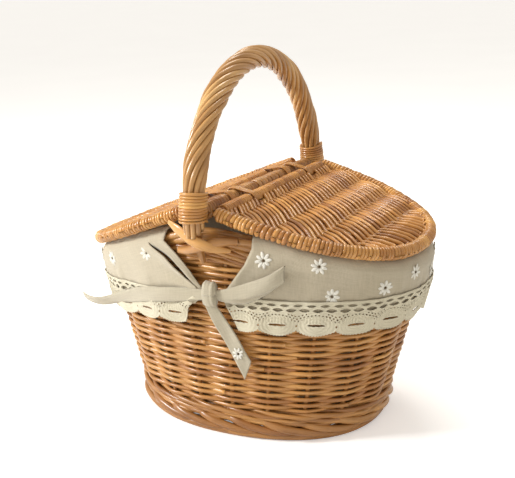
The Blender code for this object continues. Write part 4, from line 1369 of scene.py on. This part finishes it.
def bow(side, word):
    flip = 0.0 if side < 0 else PI

    def at(angle, z, off):
        return wall(angle + flip, z, flap_off(angle, z) + off)

    # loop: out over the front layer, round the tip, back under it
    u = np.linspace(0.03, 0.97, 60)
    out = (1 - np.cos(2 * PI * u)) / 2
    front = np.sin(2 * PI * u)
    angle = np.radians(-86.9 + 20.7 * out)
    z = 0.1385 + 0.0225 * out ** 1.2 + 0.0024 * front * np.sin(PI * out ** 0.8) - 0.0045 * np.sin(PI * out)
    off = 0.0042 + 0.0030 * front * np.sqrt(np.clip(out * 1.15, 0, 1))
    centre = at(angle, z, off)
    across = np.stack([0 * u, 0 * u, 1 + 0 * u], -1) + 0.10 * np.sign(front)[:, None] * unit(np.gradient(centre, axis=0))
    grow = np.clip(out / 0.55, 0, 1)
    width = 0.0085 + 0.0062 * grow * grow * (3 - 2 * grow) - 0.0010 * np.clip((out - 0.8) / 0.2, 0, 1)
    lift = (0.0019 * np.sin(PI * out) + 0.0009 * np.sin(u * 24)) * np.sign(front)
    points = ribbon(word + "_bow_loop_cloth", centre, across, width, lift)
    build_tie(word + "_bow_loop_cloth", points, word + "_bow_loop")

    # long tail
    u = np.linspace(0, 1, 60)
    if side < 0:
        angle = np.radians(smooth_at([0, 0.25, 0.5, 0.75, 1.0], [-88.2, -103.0, -118.0, -136.0, -153.5], u))
        z = smooth_at([0, 0.25, 0.45, 0.7, 0.85, 1.0], [0.1372, 0.1300, 0.1235, 0.1090, 0.1010, 0.0985], u)
        off = smooth_at([0, 0.12, 0.4, 0.65, 0.8, 0.92, 1.0], [0.0046, 0.0036, 0.0040, 0.0045, 0.0120, 0.0225, 0.0285], u)
    else:
        angle = np.radians(smooth_at([0, 0.25, 0.5, 0.75, 1.0], [-88.2, -99.5, -110.5, -121.0, -130.0], u))
        z = smooth_at([0, 0.25, 0.45, 0.7, 0.85, 1.0], [0.1372, 0.1300, 0.1215, 0.1080, 0.0990, 0.0900], u)
        off = smooth_at([0, 0.12, 0.4, 0.65, 0.8, 0.92, 1.0], [0.0046, 0.0036, 0.0040, 0.0045, 0.0050, 0.0050, 0.0045], u)
    centre = at(angle, z, off)
    tilt = smooth_at([0, 0.3, 0.55, 0.75, 1.0], [0.0, 0.10, 0.35, 0.75, 0.50], u) * (1.0 if side < 0 else 0.3)
    n = wall_normal(angle + flip, z)
    across = np.stack([0 * u, 0 * u, 1 + 0 * u], -1) * np.cos(tilt)[:, None] + n * np.sin(tilt)[:, None]
    width = smooth_at([0, 0.12, 0.4, 0.7, 1.0], [0.0085, 0.0120, 0.0145, 0.0130, 0.0110], u)
    points = ribbon(word + "_tail", centre, across, width, 0.0007 * np.sin(u * 17))[:, ::-1]
    build_tie(word + "_bow_tail_long_cloth", points, word + "_bow_tail_long")

    # short tail, hanging over the weaving
    u = np.linspace(0, 1, 40)
    angle = np.radians(smooth_at([0, 0.3, 0.6, 1.0], [-89.0, -86.0, -82.1, -77.3], u))
    z = smooth_at([0, 0.3, 0.7, 1.0], [0.1300, 0.1100, 0.0830, 0.0655], u)
    off = smooth_at([0, 0.2, 0.5, 1.0], [0.0022, 0.0010, -0.0012, -0.0020], u)
    centre = at(angle, z, off)
    n = wall_normal(angle + flip, z)
    along = unit(np.gradient(centre, axis=0))
    across = np.cross(n, along)
    tilt = smooth_at([0, 0.5, 1.0], [0.45, 0.15, -0.1], u)[:, None]
    across = across * np.cos(tilt) - n * np.sin(tilt) * 0.6
    width = smooth_at([0, 0.15, 0.5, 1.0], [0.0080, 0.0105, 0.0122, 0.0138], u)
    points = ribbon(word + "_low", centre, across, width, 0.0007 * np.sin(u * 11))
    # the end is cut on a slant, longer on its left side
    slant = np.clip((u - 0.45) / 0.55, 0, 1)[:, None, None] ** 2
    points = points - along[:, None, :] * (np.linspace(-0.35, 1, points.shape[1])[None, :, None]) * 0.0105 * slant
    build_tie(word + "_bow_tail_low_cloth", points, word + "_bow_tail_low")

    if side < 0:
        def on_tail(t, z, word):
            place = np.interp(float(z), [0.0655, 0.0830, 0.1100], [1.0, 0.7, 0.3])
            k = place * (len(centre) - 1)
            base = np.array([np.interp(k, np.arange(len(centre)), centre[:, i]) for i in range(3)])
            return base + (t - math.radians(-79.6)) * across[-8] * 0.1 - np.array([0, 1, 0]) * 0.0008 * -side

        daisies("tail", [(-79.6, 0.0840, 0.0115)], on_tail)

    # knot: a band wrapped up and over, with pleats
    middle = np.array([0.0078 * -side, side * 0.1087, 0.1385])
    a = np.linspace(0, 2 * PI, 48)
    b = np.linspace(-1, 1, 25)
    aa, bb = np.meshgrid(a, b, indexing="ij")
    waist = 1 - 0.18 * (1 - np.abs(bb) ** 2) * 0.0
    rx = 0.0060
    section = (1 - np.abs(bb) ** 6.0) ** (1 / 2.6)
    pleat = 1 + 0.030 * np.cos(bb * 6.0 + 1.2 * np.sin(aa) + 0.8) + 0.015 * np.sin(bb * 12 + aa)
    y = 0.0058 * np.cos(aa) * section * pleat
    zz = 0.0112 * np.sin(aa) * (0.72 + 0.28 * section) * section ** 0.45 * pleat
    x = rx * bb * (1 - 0.16 * np.abs(np.sin(aa)) ** 2 * 0 + 0.10 * np.abs(np.sin(aa)))
    points = np.stack([x, side * y, zz], -1) + middle
    if side < 0:
        points = points[:, ::-1]
    build_tie(word + "_bow_knot_cloth", points, word + "_bow_knot")


build_flaps()
lace("right")
lace("left")
daisies("right", [(-72.5, 0.1705, 0.0150), (-55.0, 0.1730, 0.0145), (-50.0, 0.1405, 0.0150), (-29.0, 0.1440, 0.0145), (-12.0, 0.1560, 0.0130), (4.0, 0.1440, 0.015), (18.0, 0.1600, 0.015), (33.0, 0.1420, 0.015), (47.0, 0.1650, 0.015), (62.0, 0.1460, 0.015), (74.0, 0.1680, 0.015)])
daisies("left", [(-109.5, 0.1640, 0.0145), (-132.0, 0.1480, 0.015), (-153.0, 0.1500, 0.014), (-176.0, 0.1360, 0.015), (-194.0, 0.1560, 0.015), (-210.0, 0.1440, 0.015), (-226.0, 0.1660, 0.015), (-241.0, 0.1440, 0.015), (-254.0, 0.1680, 0.015)])
bag()
bow(-1, "front")
bow(1, "back")
